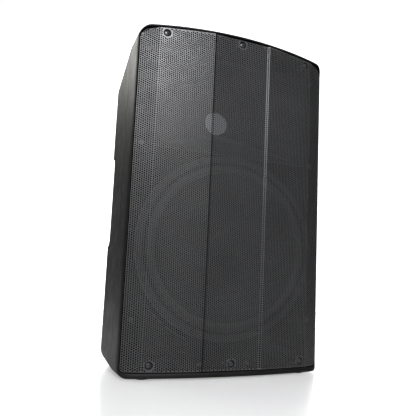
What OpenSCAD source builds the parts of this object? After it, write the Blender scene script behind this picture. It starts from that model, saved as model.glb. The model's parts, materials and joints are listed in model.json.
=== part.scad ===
// Active two-way loudspeaker cabinet with a 15 inch woofer and a horn-loaded treble
// driver behind one full-height grille. Units are millimetres. +Z is up, the grille
// faces -Y, and the origin is on the floor under the middle of the cabinet.

/* [Cabinet] */
// Width across the side walls
cab_w = 425; // [425:1:440]
// Height from the floor to the crown of the top
cab_h = 700; // [700:1:710]
// Depth from the middle of the front lip to the rear face
cab_d = 375; // [375:1:390]
// Wall thickness of the front and rear mouldings
wall = 5; // [4:0.5:5.5]
// Height of the rubber feet below the base
foot_h = 3; // [3:0.5:4]
// Fall of the rear moulding's top, in degrees
top_slope = 12; // [10:0.5:13]
// Width of the flat rear face
rear_w = 244; // [244:1:260]

/* [Grille] */
// Thickness of the steel sheet, measured front to back
sheet_t = 1.5; // [1.2:0.1:2]
// Half width of the sunken middle facet
facet_half = 57.6; // [55:0.2:60]
// Depth of the two steps beside the middle facet
step_depth = 3.3; // [2:0.1:3.5]
// Gap between the grille and the lip round it
grille_gap = 1.5; // [1:0.1:2]

/* [Woofer] */
// Height of the woofer's centre
woofer_z = 258; // [256:1:258]
// Outer radius of the woofer's frame
basket_r = 193; // [191:0.5:193]
// Outer radius of the paper cone
cone_r = 156; // [152:0.5:157]
// Radius of the dust cap
cap_r = 42; // [41:0.5:44]

/* [Horn] */
// Height of the horn's centre
horn_z = 557; // [557:1:558]
// Width of the horn's mouth
mouth_w = 330; // [320:1:332]
// Height of the horn's mouth
mouth_h = 190; // [186:1:190]
// Distance from the baffle to the horn's throat
horn_depth = 108; // [100:1:110]
// Radius of the horn's throat
throat_r = 27.5; // [25:0.5:28]

/* [Rear panel] */
// Width of the amplifier panel
panel_w = 203; // [200:1:203]
// Height of the amplifier panel
panel_h = 443; // [440:1:443]
// Depth of the panel below the rear face
panel_sink = 21.5; // [21:0.5:22.5]
// Radius of the control knobs
knob_r = 9; // [7:0.5:10]

/* [Stand mounting] */
// Inner radius of the pole socket
pole_r = 18.1; // [17.6:0.1:18.5]
// Depth of the pole socket
pole_depth = 100; // [80:1:105]
// Core radius of the M10 rigging inserts
insert_r = 4.25; // [4.2:0.05:4.4]

/* [Hidden] */
$fn = 72;

half_w = cab_w / 2;
front_y = -cab_d / 2;
rear_y = cab_d / 2;
clear = 0.2;
eps = 0.01;

// Stations along the depth
baffle_y = front_y + 50;
baffle_t = 6;
baffle_back = baffle_y + baffle_t;
seam_y = front_y + 115;
bend_y = front_y + 260;

// Bowed top and bowed front
top_bow = 2400;
front_bow = 838;
front_corner = 36;

// Each station: y, half width, low z, high z, radius of the high and low corners
bend_high = cab_h - (bend_y - seam_y) * tan(top_slope);
rear_high = bend_high - (rear_y - bend_y) * tan(top_slope);
seam_station = [seam_y, half_w, foot_h, cab_h, 24, 16];
bend_station = [bend_y, half_w, foot_h, bend_high, 44, 34];
rear_station = [rear_y, rear_w / 2, foot_h + 19, rear_high, 24, 24];

// Lip round the grille
side_lip = 3.5;
base_lip = 10;
lip_corner = 7;

// Grille folds
facet_y = front_y + 6;
step_run = 4.7;
fold_x = 171.8;
fold_y = front_y + 20.8;
edge_x = half_w - side_lip - grille_gap - 0.5;
edge_y = front_y + 40.4;
wing_x = facet_half + step_run;
wing_y = facet_y - step_depth;

// Grille screws: x and height
grille_base_z = 27;
grille_top_z = cab_h - 14.5;
grille_side_x = 158.5;
grille_points = [[0, grille_base_z], [-grille_side_x, grille_base_z],
    [grille_side_x, grille_base_z], [0, grille_top_z],
    [-grille_side_x, grille_top_z - 6], [grille_side_x, grille_top_z - 6]];
dish_r = 8;
dish_depth = 3.2;
dish_t = 1.5;

// Screws that join the two mouldings: x and height
shell_points = [[-192, 110], [192, 110], [-191, 456], [191, 456], [-187, 650], [187, 650],
    [-50, 22], [50, 22], [-80, 677], [80, 677]];
boss_r = 7;

// Woofer, with distances measured back from the baffle's face
bolt_r = basket_r - 7.5;
cut_r = 176;
flange_t = 5;
coil_r = 38;
neck_y = baffle_y + 56;
coil_end = baffle_y + 99;
plate_y = baffle_y + 86;
plate_t = 8;
magnet_y = plate_y + plate_t;
magnet_t = 20;
magnet_r = 90;
spider_y = baffle_y + 72;

// Horn and treble driver
horn_flange = 10;
throat_y = baffle_y + horn_depth;
driver_y = throat_y + 6;
driver_r = 50;
exit_r = 17;

// Ports in the lower corners
port_in = 72;
port_out = 176;
port_low = 43;
port_arc = basket_r + 10;
port_wall = 3;
port_depth = 150;

// Handles
cup_y0 = bend_y - 29;
cup_y1 = bend_y + 77.5;
cup_z0 = 257;
cup_z1 = 467;
cup_x = 112;
cup_corner = 24;
cup_wall = 3;
grip_r = 13;
grip_x = 158;
grip_y = bend_y + 40;

// Amplifier panel
panel_y = rear_y - panel_sink;
panel_t = 3;
panel_z = 350;
pot_z = 545;
pot_xs = [66, 22, -22, -66];
socket_z = 492;
socket_xs = [64, 18];
link_x = -28;
inlet_at = [52, 165];
rocker_at = [-10, 165];
shaft_r = 3;
board_y = panel_y - 46;
control_y = panel_y - 20;

foot_points = [[-165, front_y + 42], [165, front_y + 42], [-165, 50], [165, 50]];
insert_points = [[-120, -52], [120, -52]];
insert_l = 24;
rear_insert_z = rear_high - 28;
pole_y = -10;
pole_screw_r = 38;
horn_points = concat([for (x = [-1, 1], z = [-80, 0, 80]) [x * (mouth_w / 2 + 6.5), horn_z + z]],
    [for (x = [-85, 85], z = [-1, 1]) [x, horn_z + z * (mouth_h / 2 + 5.5)]]);
panel_points = concat(
    [for (x = [-1, 1], z = [-216, -72, 72, 216]) [x * (panel_w / 2 - 5), panel_z + z]],
    [[0, panel_z - 216], [0, panel_z + 216]]);
button_points = [[64, 517], [18, 517], [-70, 517]];
led_points = [[-40, 522], [-28, 522], [-16, 522]];
stand_points = [[-80, 165], [80, 195], [-80, 385], [80, 385]];

// Height of the rear moulding's top surface over a rigging insert
function insert_top(p) = crown_z(p[0]) - (p[1] - seam_y) * tan(top_slope);

function arc(cx, cy, r, a0, a1, n) =
    [for (i = [0:n]) let (a = a0 + (a1 - a0) * i / n) [cx + r * cos(a), cy + r * sin(a)]];

// Outline of a box with a bowed high edge and round corners, drawn inset from its edge
function bowed(hw, low, high, bow, high_r, low_r, inset = 0) =
    let (x = hw - high_r, cy = high - bow, y = cy + sqrt(pow(bow - high_r, 2) - x * x),
         a = atan2(y - cy, x), n = 12)
    concat(arc(hw - low_r, low + low_r, low_r - inset, -90, 0, 5),
        arc(x, y, high_r - inset, 0, a, 6),
        [for (i = [1:n - 1]) let (t = a + (180 - 2 * a) * i / n)
            [(bow - inset) * cos(t), cy + (bow - inset) * sin(t)]],
        arc(-x, y, high_r - inset, 180 - a, 180, 6),
        arc(low_r - hw, low + low_r, low_r - inset, 180, 270, 5));

// Front face of the grille at distance x from the middle
function grille_y(x) = abs(x) < facet_half ? facet_y
    : abs(x) < fold_x ? wing_y + (abs(x) - wing_x) / (fold_x - wing_x) * (fold_y - wing_y)
    : fold_y + (abs(x) - fold_x) / (edge_x - fold_x) * (edge_y - fold_y);

// Height of the arched top at distance x from the middle
function crown_z(x) = cab_h - top_bow + sqrt(top_bow * top_bow - x * x);

// Mouth of a port: two straight sides, a flat base and an arc round the woofer
function port_outline(grow) =
    let (x0 = port_in - grow, x1 = port_out + grow, r = port_arc - grow)
    concat([[x0, port_low - grow], [x1, port_low - grow]],
        [for (i = [0:8]) let (x = x1 + (x0 - x1) * i / 8)
            [x, woofer_z - sqrt(r * r - x * x)]]);

// Extrudes an outline drawn in X and Z from y0 back to y1
module along_y(y0, y1) {
    translate([0, y1, 0]) rotate([90, 0, 0]) linear_extrude(y1 - y0) children();
}

// Turns a shape drawn round Z so that its axis lies along +Y, with its base at p
module facing_back(p) {
    translate(p) rotate([-90, 0, 0]) children();
}

// A box from one corner to the other
module block(low, high) {
    translate(low) cube([high[0] - low[0], high[1] - low[1], high[2] - low[2]]);
}

module tube(r_out, r_in, h) {
    difference() {
        cylinder(r = r_out, h = h);
        translate([0, 0, -1]) cylinder(r = r_in, h = h + 2);
    }
}

// ---- Mouldings ----

module slab(s, inset, y) {
    along_y(y, y + eps) polygon(bowed(s[1], s[2], s[3], top_bow, s[4], s[5], inset));
}

// Solid between two stations, inset by the wall for the hollow inside
module loft(a, b, inset, y0, y1) {
    hull() {
        slab(a, inset, y0);
        slab(b, inset, y1);
    }
}

module rear_solid(inset) {
    loft(seam_station, bend_station, inset, seam_y - (inset > 0 ? 1 : 0), bend_y);
    loft(bend_station, rear_station, inset, bend_y, rear_y - inset - eps);
}

// Outline of the front moulding seen from above, bowed at the front
module front_plan() {
    mirror([0, 1])
        polygon(bowed(half_w, -seam_y - 30, -front_y, front_bow, front_corner, 10));
}

// Rounded opening of a side handle, seen from the side
module cup_opening(grow) {
    y0 = cup_y0 - grow;
    y1 = cup_y1 + grow;
    z0 = cup_z0 - grow;
    z1 = cup_z1 + grow;
    r = cup_corner + grow;
    translate([cup_x, 0, 0]) rotate([90, 0, 90]) linear_extrude(half_w) {
        polygon(concat(arc(y1 - r, z0 + r, r, -90, 0, 6), arc(y1 - r, z1 - r, r, 0, 90, 6),
            arc(y0 + r, z1 - r, r, 90, 180, 6), arc(y0 + r, z0 + r, r, 180, 270, 6)));
    }
}

module front_frame() {
    color([0.11, 0.11, 0.105]) difference() {
        union() {
            difference() {
                intersection() {
                    along_y(front_y, seam_y)
                        polygon(bowed(half_w, foot_h, cab_h, top_bow, 24, 16));
                    linear_extrude(cab_h + 1) front_plan();
                }
                along_y(front_y - 1, baffle_y) polygon(bowed(half_w - side_lip,
                    foot_h + base_lip, cab_h - side_lip, top_bow, 20, lip_corner));
                along_y(baffle_back, seam_y + 1)
                    polygon(bowed(half_w, foot_h, cab_h, top_bow, 24, 16, wall));
            }
            for (p = grille_points)
                facing_back([p[0], grille_y(p[0]) + dish_depth + dish_t, p[1]])
                    cylinder(r = boss_r, h = baffle_y - grille_y(p[0]) - dish_depth);
        }
        facing_back([0, front_y, woofer_z]) cylinder(r = cut_r, h = 100);
        for (a = [22.5:45:359])
            facing_back([bolt_r * cos(a), front_y + 30, woofer_z + bolt_r * sin(a)])
                cylinder(r = 3.2, h = 100);
        block([-mouth_w / 2 - 4, baffle_y - 1, horn_z - mouth_h / 2 - 3.5],
            [mouth_w / 2 + 4, baffle_back + 1, horn_z + mouth_h / 2 + 3.5]);
        for (p = horn_points) facing_back([p[0], baffle_y - 1, p[1]]) cylinder(r = 1.55, h = 20);
        for (s = [0, 1]) mirror([s, 0, 0])
            along_y(baffle_y - 1, baffle_back + 1) polygon(port_outline(0));
        for (p = shell_points) facing_back([p[0], baffle_y - 1, p[1]]) cylinder(r = 2.3, h = 20);
        for (p = grille_points)
            facing_back([p[0], front_y - 1, p[1]]) cylinder(r = 2.05, h = 60);
        for (p = [foot_points[0], foot_points[1]])
            translate([p[0], p[1], foot_h - 1]) cylinder(r = 4, h = 6);
    }
}

// Web that ties a screw boss to the nearest wall
module boss_web(p) {
    side = abs(p[0]) > 100;
    x1 = side ? sign(p[0]) * half_w : p[0];
    z1 = side ? p[1] : (p[1] > horn_z ? cab_h : foot_h);
    block([min(p[0], x1) - (side ? 0 : 4), seam_y + 1, min(p[1], z1) - (side ? 4 : 0)],
        [max(p[0], x1) + (side ? 0 : 4), seam_y + 24, max(p[1], z1) + (side ? 4 : 0)]);
}

module rear_shell() {
    panel_low = panel_z - panel_h / 2 - 0.5;
    panel_high = panel_z + panel_h / 2 + 0.5;
    hx = panel_w / 2 + 0.5;
    rim = 4;
    ledge = 10;
    color([0.12, 0.12, 0.115]) difference() {
        union() {
            difference() {
                rear_solid(0);
                rear_solid(wall);
                for (p = foot_points)
                    translate([p[0], p[1], foot_h - 1]) cylinder(r = 4, h = wall + 5);
            }
            difference() {
                block([-hx - rim, panel_y - panel_t - 5, panel_low - rim],
                    [hx + rim, rear_y - 1, panel_high + rim]);
                block([-hx + ledge, 0, panel_low + ledge], [hx - ledge, rear_y, panel_high - ledge]);
            }
            for (p = shell_points) facing_back([p[0], baffle_back, p[1]])
                cylinder(r = boss_r, h = seam_y - baffle_back + 24);
            intersection() {
                rear_solid(1);
                union() {
                    for (p = shell_points) boss_web(p);
                    for (p = insert_points) translate([p[0], p[1], crown_z(p[0]) - 34])
                        cylinder(r = 14, h = 40);
                    facing_back([0, rear_y - 30, rear_insert_z]) cylinder(r = 14, h = 40);
                }
            }
        }
        block([-hx, panel_y - panel_t, panel_low], [hx, rear_y + 1, panel_high]);
        for (s = [0, 1]) mirror([s, 0, 0]) cup_opening(clear);
        translate([0, pole_y, 0]) cylinder(r = pole_r + 4, h = 20);
        for (a = [45:90:359]) translate([38 * cos(a), pole_y + 38 * sin(a), 0])
            cylinder(r = 2.05, h = 20);
        for (p = shell_points) facing_back([p[0], baffle_back - 1, p[1]]) cylinder(r = 2.05, h = 32);
        for (p = insert_points)
            translate([p[0], p[1], insert_top(p) - insert_l - 0.5]) cylinder(r = 9, h = 60);
        facing_back([0, rear_y - insert_l - 3, rear_insert_z]) cylinder(r = 9, h = 60);
        for (p = panel_points) facing_back([p[0], panel_y - 20, p[1]]) cylinder(r = 1.55, h = 30);
    }
}

module shell_screws() {
    color([0.08, 0.08, 0.08]) for (p = shell_points) {
        facing_back([p[0], baffle_y - 3, p[1]]) cylinder(r = 4.5, h = 3);
        facing_back([p[0], baffle_y - 0.5, p[1]]) cylinder(r = 2, h = 24);
    }
}

// ---- Grille ----

// Grille seen from above: the folded front face, thickened backwards
module grille_band(thick) {
    right = [[facet_half, facet_y], [wing_x, wing_y], [fold_x, fold_y], [edge_x, edge_y]];
    face = concat([for (i = [3:-1:0]) [-right[i][0], right[i][1]]], right);
    polygon(concat(face, [for (i = [7:-1:0]) [face[i][0], face[i][1] + thick]]));
}

module grille_outline() {
    inset = side_lip + grille_gap;
    polygon(bowed(edge_x, foot_h + base_lip + grille_gap, cab_h - inset, top_bow, 18, 6));
}

module grille() {
    color([0.2, 0.2, 0.2]) intersection() {
        along_y(front_y, baffle_y) grille_outline();
        difference() {
            union() {
                linear_extrude(cab_h) grille_band(sheet_t);
                intersection() {
                    linear_extrude(cab_h) grille_band(dish_depth + 3);
                    for (p = grille_points)
                        facing_back([p[0], front_y, p[1]])
                            cylinder(r = dish_r, h = grille_y(p[0]) + dish_depth + dish_t - front_y);
                }
            }
            for (p = grille_points) {
                facing_back([p[0], front_y - 1, p[1]])
                    cylinder(r = dish_r - 1.2, h = grille_y(p[0]) + dish_depth + 1 - front_y);
                facing_back([p[0], front_y - 1, p[1]]) cylinder(r = 2.6, h = 60);
            }
        }
    }
}

module grille_screws() {
    color([0.35, 0.35, 0.36]) for (p = grille_points) {
        seat = grille_y(p[0]) + dish_depth;
        facing_back([p[0], seat - 2.6, p[1]]) rotate_extrude()
            polygon(concat([[0, 0.4], [1.6, 0.4], [1.6, 0]], arc(1.8, 2.6, 2.6, -75, 0, 6), [[0, 2.6]]));
        facing_back([p[0], seat, p[1]]) cylinder(r = 2, h = 18);
    }
}

// ---- Woofer ----

module woofer_basket() {
    rim = baffle_y - flange_t;
    color([0.07, 0.07, 0.07]) difference() {
        facing_back([0, rim, woofer_z]) rotate_extrude() polygon([[166, 0], [basket_r, 0],
            [basket_r, flange_t], [175.5, flange_t], [173, 16], [98, 80], [88, 91], [45, 91],
            [45, 88], [84, 88], [94, 78], [168, 13]]);
        for (a = [22.5:45:359]) facing_back([bolt_r * cos(a), rim - 1, woofer_z + bolt_r * sin(a)])
            cylinder(r = 3.2, h = flange_t + 2);
        translate([0, 0, woofer_z]) for (a = [0:45:359]) rotate([0, a, 0])
            block([104, rim + 24, -24], [190, rim + 70, 24]);
    }
}

module basket_gasket() {
    color([0.05, 0.05, 0.05]) facing_back([0, baffle_y - flange_t - 4, woofer_z]) tube(179, 172, 3);
}

module surround() {
    mid = (cone_r + 0.4 + 171) / 2;
    roll = mid - cone_r - 0.4;
    color([0.06, 0.06, 0.06]) facing_back([0, baffle_y - flange_t, woofer_z]) rotate_extrude()
        polygon(concat([[179, -1], [179, 0], [171 - 1, 0]], arc(mid, -1, roll - 1, 0, -180, 10),
            arc(mid, -1, roll, 180, 360, 12)));
}

module cone() {
    color([0.1, 0.1, 0.1]) facing_back([0, baffle_y, woofer_z]) rotate_extrude() polygon([
        [cone_r, -6], [120, 13], [80, 37], [coil_r + 0.5, 56], [coil_r + 0.5, 58], [80, 39],
        [120, 15], [cone_r, -4]]);
}

module dust_cap() {
    rise = 14;
    R = (cap_r * cap_r + rise * rise) / (2 * rise);
    a = asin((R - rise) / R);
    color([0.09, 0.09, 0.09]) facing_back([0, baffle_y + 53.7, woofer_z]) rotate_extrude()
        polygon(concat(arc(0, R - rise, R, -a, -90, 8), arc(0, R - rise, R - 1, -90, -a, 8)));
}

module voice_coil() {
    color([0.72, 0.45, 0.2]) facing_back([0, neck_y, woofer_z])
        tube(coil_r + 0.4, coil_r - 0.6, coil_end - neck_y);
}

module spider() {
    inner = coil_r + 0.9;
    step = (93.9 - inner) / 8;
    wave = [for (i = [0:8]) [inner + step * i, i == 0 || i == 8 ? 0 : (i % 2 == 0 ? -2 : 2)]];
    color([0.75, 0.6, 0.3]) facing_back([0, spider_y, woofer_z]) rotate_extrude()
        polygon(concat(wave, [for (i = [8:-1:0]) wave[i] + [0, 0.8]]));
}

module top_plate() {
    color([0.4, 0.4, 0.42]) facing_back([0, plate_y, woofer_z]) tube(80, coil_r + 1.6, plate_t);
}

module magnet() {
    color([0.16, 0.16, 0.17]) facing_back([0, magnet_y, woofer_z]) tube(magnet_r, 52, magnet_t);
}

module back_plate() {
    pole = coil_r - 1.4;
    vent = 14;
    color([0.4, 0.4, 0.42]) facing_back([0, plate_y, woofer_z]) rotate_extrude() polygon([
        [vent, 0], [pole, 0], [pole, plate_t + magnet_t], [82, plate_t + magnet_t],
        [82, plate_t + magnet_t + 8], [vent, plate_t + magnet_t + 8]]);
}

module woofer_screws() {
    color([0.3, 0.3, 0.3]) for (a = [22.5:45:359]) {
        at = [bolt_r * cos(a), baffle_y - flange_t, woofer_z + bolt_r * sin(a)];
        facing_back(at - [0, 5, 0]) difference() {
            cylinder(r = 5, h = 5);
            translate([0, 0, -1]) cylinder(r = 2.9, h = 4, $fn = 6);
        }
        facing_back(at) cylinder(r = 3, h = 22);
    }
}

module woofer_nuts() {
    color([0.6, 0.6, 0.62]) for (a = [22.5:45:359])
        facing_back([bolt_r * cos(a), baffle_back, woofer_z + bolt_r * sin(a)]) {
            tube(8, 3.05, 1.5);
            translate([0, 0, 1.5]) tube(4.5, 3.05, 7);
        }
}

// ---- Horn and treble driver ----

module horn_slab(w, h, r, y) {
    translate([0, y, horn_z]) rotate([-90, 0, 0]) linear_extrude(eps) polygon(concat(
        arc(w - r, r - h, r, -90, 0, 5), arc(w - r, h - r, r, 0, 90, 5),
        arc(r - w, h - r, r, 90, 180, 5), arc(r - w, r - h, r, 180, 270, 5)));
}

// Space inside the horn, grown by t for its outside
module horn_space(t, y0, y1) {
    mid_y = baffle_y + horn_depth * 0.45;
    hull() {
        horn_slab(mouth_w / 2 + t, mouth_h / 2 + t, 20 + t, y0);
        horn_slab(88 + t, 60 + t, 30 + t, mid_y);
    }
    hull() {
        horn_slab(88 + t, 60 + t, 30 + t, mid_y);
        horn_slab(throat_r + t, throat_r + t, throat_r + t - 0.1, y1);
    }
}

module horn() {
    color([0.1, 0.1, 0.1]) difference() {
        union() {
            horn_space(3, baffle_y - 2.9, throat_y);
            block([-mouth_w / 2 - horn_flange, baffle_y - 3, horn_z - mouth_h / 2 - 9],
                [mouth_w / 2 + horn_flange, baffle_y, horn_z + mouth_h / 2 + 9]);
            facing_back([0, throat_y - 0.5, horn_z]) cylinder(r = 45, h = 6.5);
        }
        horn_space(0, baffle_y - 3.5, throat_y - 0.5);
        facing_back([0, throat_y - 2, horn_z]) cylinder(r = throat_r, h = 20);
        for (p = horn_points) facing_back([p[0], baffle_y - 4, p[1]]) cylinder(r = 1.8, h = 8);
        for (a = [45:90:359])
            facing_back([38 * cos(a), throat_y - 8, horn_z + 38 * sin(a)]) cylinder(r = 2.6, h = 20);
    }
}

module horn_screws() {
    color([0.25, 0.25, 0.25]) {
        for (p = horn_points) {
            facing_back([p[0], baffle_y - 5, p[1]]) cylinder(r = 3, h = 2);
            facing_back([p[0], baffle_y - 3, p[1]]) cylinder(r = 1.5, h = 14);
        }
        for (a = [45:90:359])
            facing_back([38 * cos(a), throat_y, horn_z + 38 * sin(a)]) cylinder(r = 2.5, h = 13.9);
    }
}

module throat_screen() {
    color([0.75, 0.76, 0.78]) facing_back([0, driver_y - 1.2, horn_z])
        cylinder(r = throat_r - 0.2, h = 1.2);
}

module driver_plate() {
    color([0.7, 0.7, 0.72]) facing_back([0, driver_y, horn_z]) difference() {
        cylinder(r = 45, h = 8);
        translate([0, 0, -0.01]) cylinder(r1 = throat_r - 1, r2 = exit_r, h = 8.02);
        for (a = [45:90:359]) translate([38 * cos(a), 38 * sin(a), -1]) cylinder(r = 2.55, h = 10);
    }
}

module driver_magnet() {
    color([0.16, 0.16, 0.17]) facing_back([0, driver_y + 8, horn_z]) tube(driver_r, 20, 18);
}

module driver_dome() {
    rise = 6;
    r = 22;
    R = (r * r + rise * rise) / (2 * rise);
    a = asin((R - rise) / R);
    color([0.75, 0.75, 0.78]) facing_back([0, driver_y + 27.2, horn_z]) rotate_extrude()
        polygon(concat([[30, 0], [30, 0.5]], arc(0, rise - R + 0.5, R, a, 90, 8),
            arc(0, rise - R, R, 90, a, 8)));
}

module driver_cover() {
    color([0.1, 0.1, 0.1]) facing_back([0, driver_y + 26, horn_z]) rotate_extrude() polygon([
        [48, 0], [48, 16], [44, 20], [0, 20], [0, 17], [42, 17], [45, 14], [45, 0]]);
}

// ---- Ports ----

module port_duct() {
    color([0.08, 0.08, 0.08]) along_y(baffle_back, baffle_back + port_depth) difference() {
        polygon(port_outline(port_wall));
        polygon(port_outline(0));
    }
}

module port_left() { mirror([1, 0, 0]) port_duct(); }
module port_right() { port_duct(); }

// ---- Handles ----

module handle_cup() {
    color([0.1, 0.1, 0.1]) difference() {
        intersection() {
            rear_solid(0);
            cup_opening(0);
        }
        translate([cup_wall, 0, 0]) cup_opening(-cup_wall);
        translate([grip_x, grip_y, cup_z0 - 1]) cylinder(r = 2.6, h = cup_z1 - cup_z0 + 2);
    }
}

module grip() {
    color([0.07, 0.07, 0.07]) translate([grip_x, grip_y, cup_z0 + cup_wall]) difference() {
        cylinder(r = grip_r, h = cup_z1 - cup_z0 - 2 * cup_wall);
        for (z = [-1, cup_z1 - cup_z0 - 2 * cup_wall - 20]) translate([0, 0, z])
            cylinder(r = 2.05, h = 21);
    }
}

module handle_cup_left() { mirror([1, 0, 0]) handle_cup(); }
module handle_cup_right() { handle_cup(); }
module grip_left() { mirror([1, 0, 0]) grip(); }
module grip_right() { grip(); }

module grip_screws() {
    color([0.3, 0.3, 0.3]) for (x = [-grip_x, grip_x]) {
        translate([x, grip_y, cup_z0 - 3]) cylinder(r = 4.5, h = 3);
        translate([x, grip_y, cup_z0 - 0.5]) cylinder(r = 2, h = 20);
        translate([x, grip_y, cup_z1]) cylinder(r = 4.5, h = 3);
        translate([x, grip_y, cup_z1 - 19.5]) cylinder(r = 2, h = 20);
    }
}

// ---- Base and rigging ----

module feet() {
    color([0.05, 0.05, 0.05]) for (p = foot_points) translate([p[0], p[1], 0]) {
        cylinder(r1 = 11, r2 = 12, h = foot_h);
        cylinder(r = 3.9, h = foot_h + 4);
    }
}

module pole_socket() {
    low = foot_h - 2;
    color([0.12, 0.12, 0.12]) translate([0, pole_y, low]) difference() {
        union() {
            cylinder(r = 45, h = 2);
            cylinder(r = pole_r + 3.5, h = pole_depth + 3);
        }
        translate([0, 0, -1]) cylinder(r = pole_r, h = pole_depth + 1);
        for (a = [45:90:359]) translate([pole_screw_r * cos(a), pole_screw_r * sin(a), -1]) {
            cylinder(r = 2.2, h = 4);
            cylinder(r = 4.2, h = 2.2);
        }
    }
}

module pole_screws() {
    color([0.3, 0.3, 0.3])
        for (a = [45:90:359]) translate([pole_screw_r * cos(a), pole_y + pole_screw_r * sin(a), 0]) {
            translate([0, 0, foot_h - 2]) cylinder(r = 4, h = 1.2);
            translate([0, 0, foot_h - 1]) cylinder(r = 2, h = 14);
        }
}

module insert() {
    difference() {
        cylinder(r = 8.8, h = insert_l);
        translate([0, 0, 2]) cylinder(r = insert_r, h = insert_l);
    }
}

module rigging_inserts() {
    color([0.65, 0.65, 0.67]) {
        for (p = insert_points) translate([p[0], p[1], insert_top(p) - insert_l - 0.5]) insert();
        facing_back([0, rear_y - insert_l - 0.5, rear_insert_z]) insert();
    }
}

// ---- Amplifier panel ----

module amp_panel() {
    back = panel_y - panel_t;
    color([0.14, 0.14, 0.15]) difference() {
        union() {
            block([-panel_w / 2, back, panel_z - panel_h / 2],
                [panel_w / 2, panel_y, panel_z + panel_h / 2]);
            for (p = stand_points) facing_back([p[0], board_y + 1.6, p[1]])
                cylinder(r = 4, h = back - board_y - 1.1);
        }
        for (p = panel_points) facing_back([p[0], back - 1, p[1]]) cylinder(r = 1.8, h = 10);
        for (x = pot_xs) facing_back([x, back - 1, pot_z]) cylinder(r = 3.8, h = 10);
        for (x = concat(socket_xs, [link_x])) facing_back([x, back - 1, socket_z])
            cylinder(r = 12.1, h = 10);
        for (p = button_points) facing_back([p[0], back - 1, p[1]]) cylinder(r = 3.6, h = 10);
        for (p = led_points) facing_back([p[0], back - 1, p[1]]) cylinder(r = 1.6, h = 10);
        block([inlet_at[0] - 13.7, back - 1, inlet_at[1] - 10.2],
            [inlet_at[0] + 13.7, panel_y + 1, inlet_at[1] + 10.2]);
        block([rocker_at[0] - 7.6, back - 1, rocker_at[1] - 13.1],
            [rocker_at[0] + 7.6, panel_y + 1, rocker_at[1] + 13.1]);
    }
}

module panel_screws() {
    color([0.3, 0.3, 0.3]) for (p = panel_points) {
        facing_back([p[0], panel_y, p[1]]) difference() {
            cylinder(r1 = 3.5, r2 = 2.9, h = 2.2);
            for (a = [0, 90]) rotate(a) translate([-2, -0.4, 1.2]) cube([4, 0.8, 2]);
        }
        facing_back([p[0], panel_y - 12, p[1]]) cylinder(r = 1.5, h = 12.1);
    }
}

module heat_sink() {
    fins = 17;
    pitch = 10;
    color([0.1, 0.1, 0.1]) {
        block([-85, panel_y, 205], [85, panel_y + 3, 445]);
        for (i = [0:fins - 1]) {
            x = (i - (fins - 1) / 2) * pitch;
            block([x - 1, panel_y + 2.5, 205], [x + 1, panel_y + 18, 445]);
        }
    }
}

module amp_board() {
    color([0.05, 0.25, 0.12]) block([-88, board_y, 150], [88, board_y + 1.6, 400]);
}

module capacitors() {
    color([0.1, 0.1, 0.3]) for (x = [-45, -15, 15, 45], z = [345, 378])
        facing_back([x, board_y - 40, z]) cylinder(r = 13, h = 40);
}

module control_board() {
    color([0.05, 0.25, 0.12]) {
        block([-88, control_y, 511], [88, control_y + 1.6, 560]);
        for (p = button_points) block([p[0] - 4, control_y + 1, p[1] - 4],
            [p[0] + 4, control_y + 9, p[1] + 4]);
    }
}

module pots() {
    base = control_y + 1.6;
    color([0.5, 0.5, 0.52]) for (x = pot_xs) difference() {
        union() {
            block([x - 5, base, pot_z - 6], [x + 5, panel_y - panel_t, pot_z + 6]);
            facing_back([x, base + 5, pot_z]) cylinder(r = 3.7, h = panel_y + 2 - base - 5);
            facing_back([x, panel_y, pot_z]) cylinder(r = 5.6, h = 2);
        }
        facing_back([x, base - 1, pot_z]) cylinder(r = shaft_r + 0.05, h = 40);
    }
}

module pot_shaft(x) {
    color([0.7, 0.7, 0.7]) facing_back([x, control_y + 2, pot_z]) cylinder(r = shaft_r, h = 30);
}

module knob(x) {
    base = panel_y + 2.6;
    color([0.08, 0.08, 0.08]) facing_back([x, base, pot_z]) difference() {
        union() {
            cylinder(r = knob_r + 0.8, h = 2.5);
            cylinder(r1 = knob_r, r2 = knob_r - 1, h = 13);
        }
        translate([0, 0, -1]) cylinder(r = shaft_r + 0.04, h = control_y + 33 - base);
        translate([-0.6, -knob_r - 1, 12.3]) cube([1.2, knob_r, 2]);
    }
}

module level_1_knob() { knob(pot_xs[0]); }
module level_2_knob() { knob(pot_xs[1]); }
module treble_knob() { knob(pot_xs[2]); }
module bass_knob() { knob(pot_xs[3]); }
module level_1_shaft() { pot_shaft(pot_xs[0]); }
module level_2_shaft() { pot_shaft(pot_xs[1]); }
module treble_shaft() { pot_shaft(pot_xs[2]); }
module bass_shaft() { pot_shaft(pot_xs[3]); }

// Flange of a round panel socket, with its barrel behind
module socket_body(x) {
    block([x - 13, panel_y, socket_z - 15.5], [x + 13, panel_y + 2, socket_z + 15.5]);
    facing_back([x, panel_y - 24, socket_z]) cylinder(r = 11.9, h = 25);
}

module input_sockets() {
    color([0.1, 0.1, 0.1]) for (x = socket_xs) difference() {
        socket_body(x);
        facing_back([x, panel_y - 12, socket_z]) tube(9.8, 7.4, 15);
        facing_back([x, panel_y - 20, socket_z]) cylinder(r = 3.25, h = 30);
    }
}

module link_socket() {
    color([0.1, 0.1, 0.1]) difference() {
        socket_body(link_x);
        facing_back([link_x, panel_y - 14, socket_z]) cylinder(r = 9.6, h = 20);
    }
    color([0.8, 0.7, 0.4]) for (a = [90, 210, 330])
        facing_back([link_x + 3.4 * cos(a), panel_y - 14.5, socket_z + 3.4 * sin(a)])
            cylinder(r = 1.2, h = 9);
}

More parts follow.
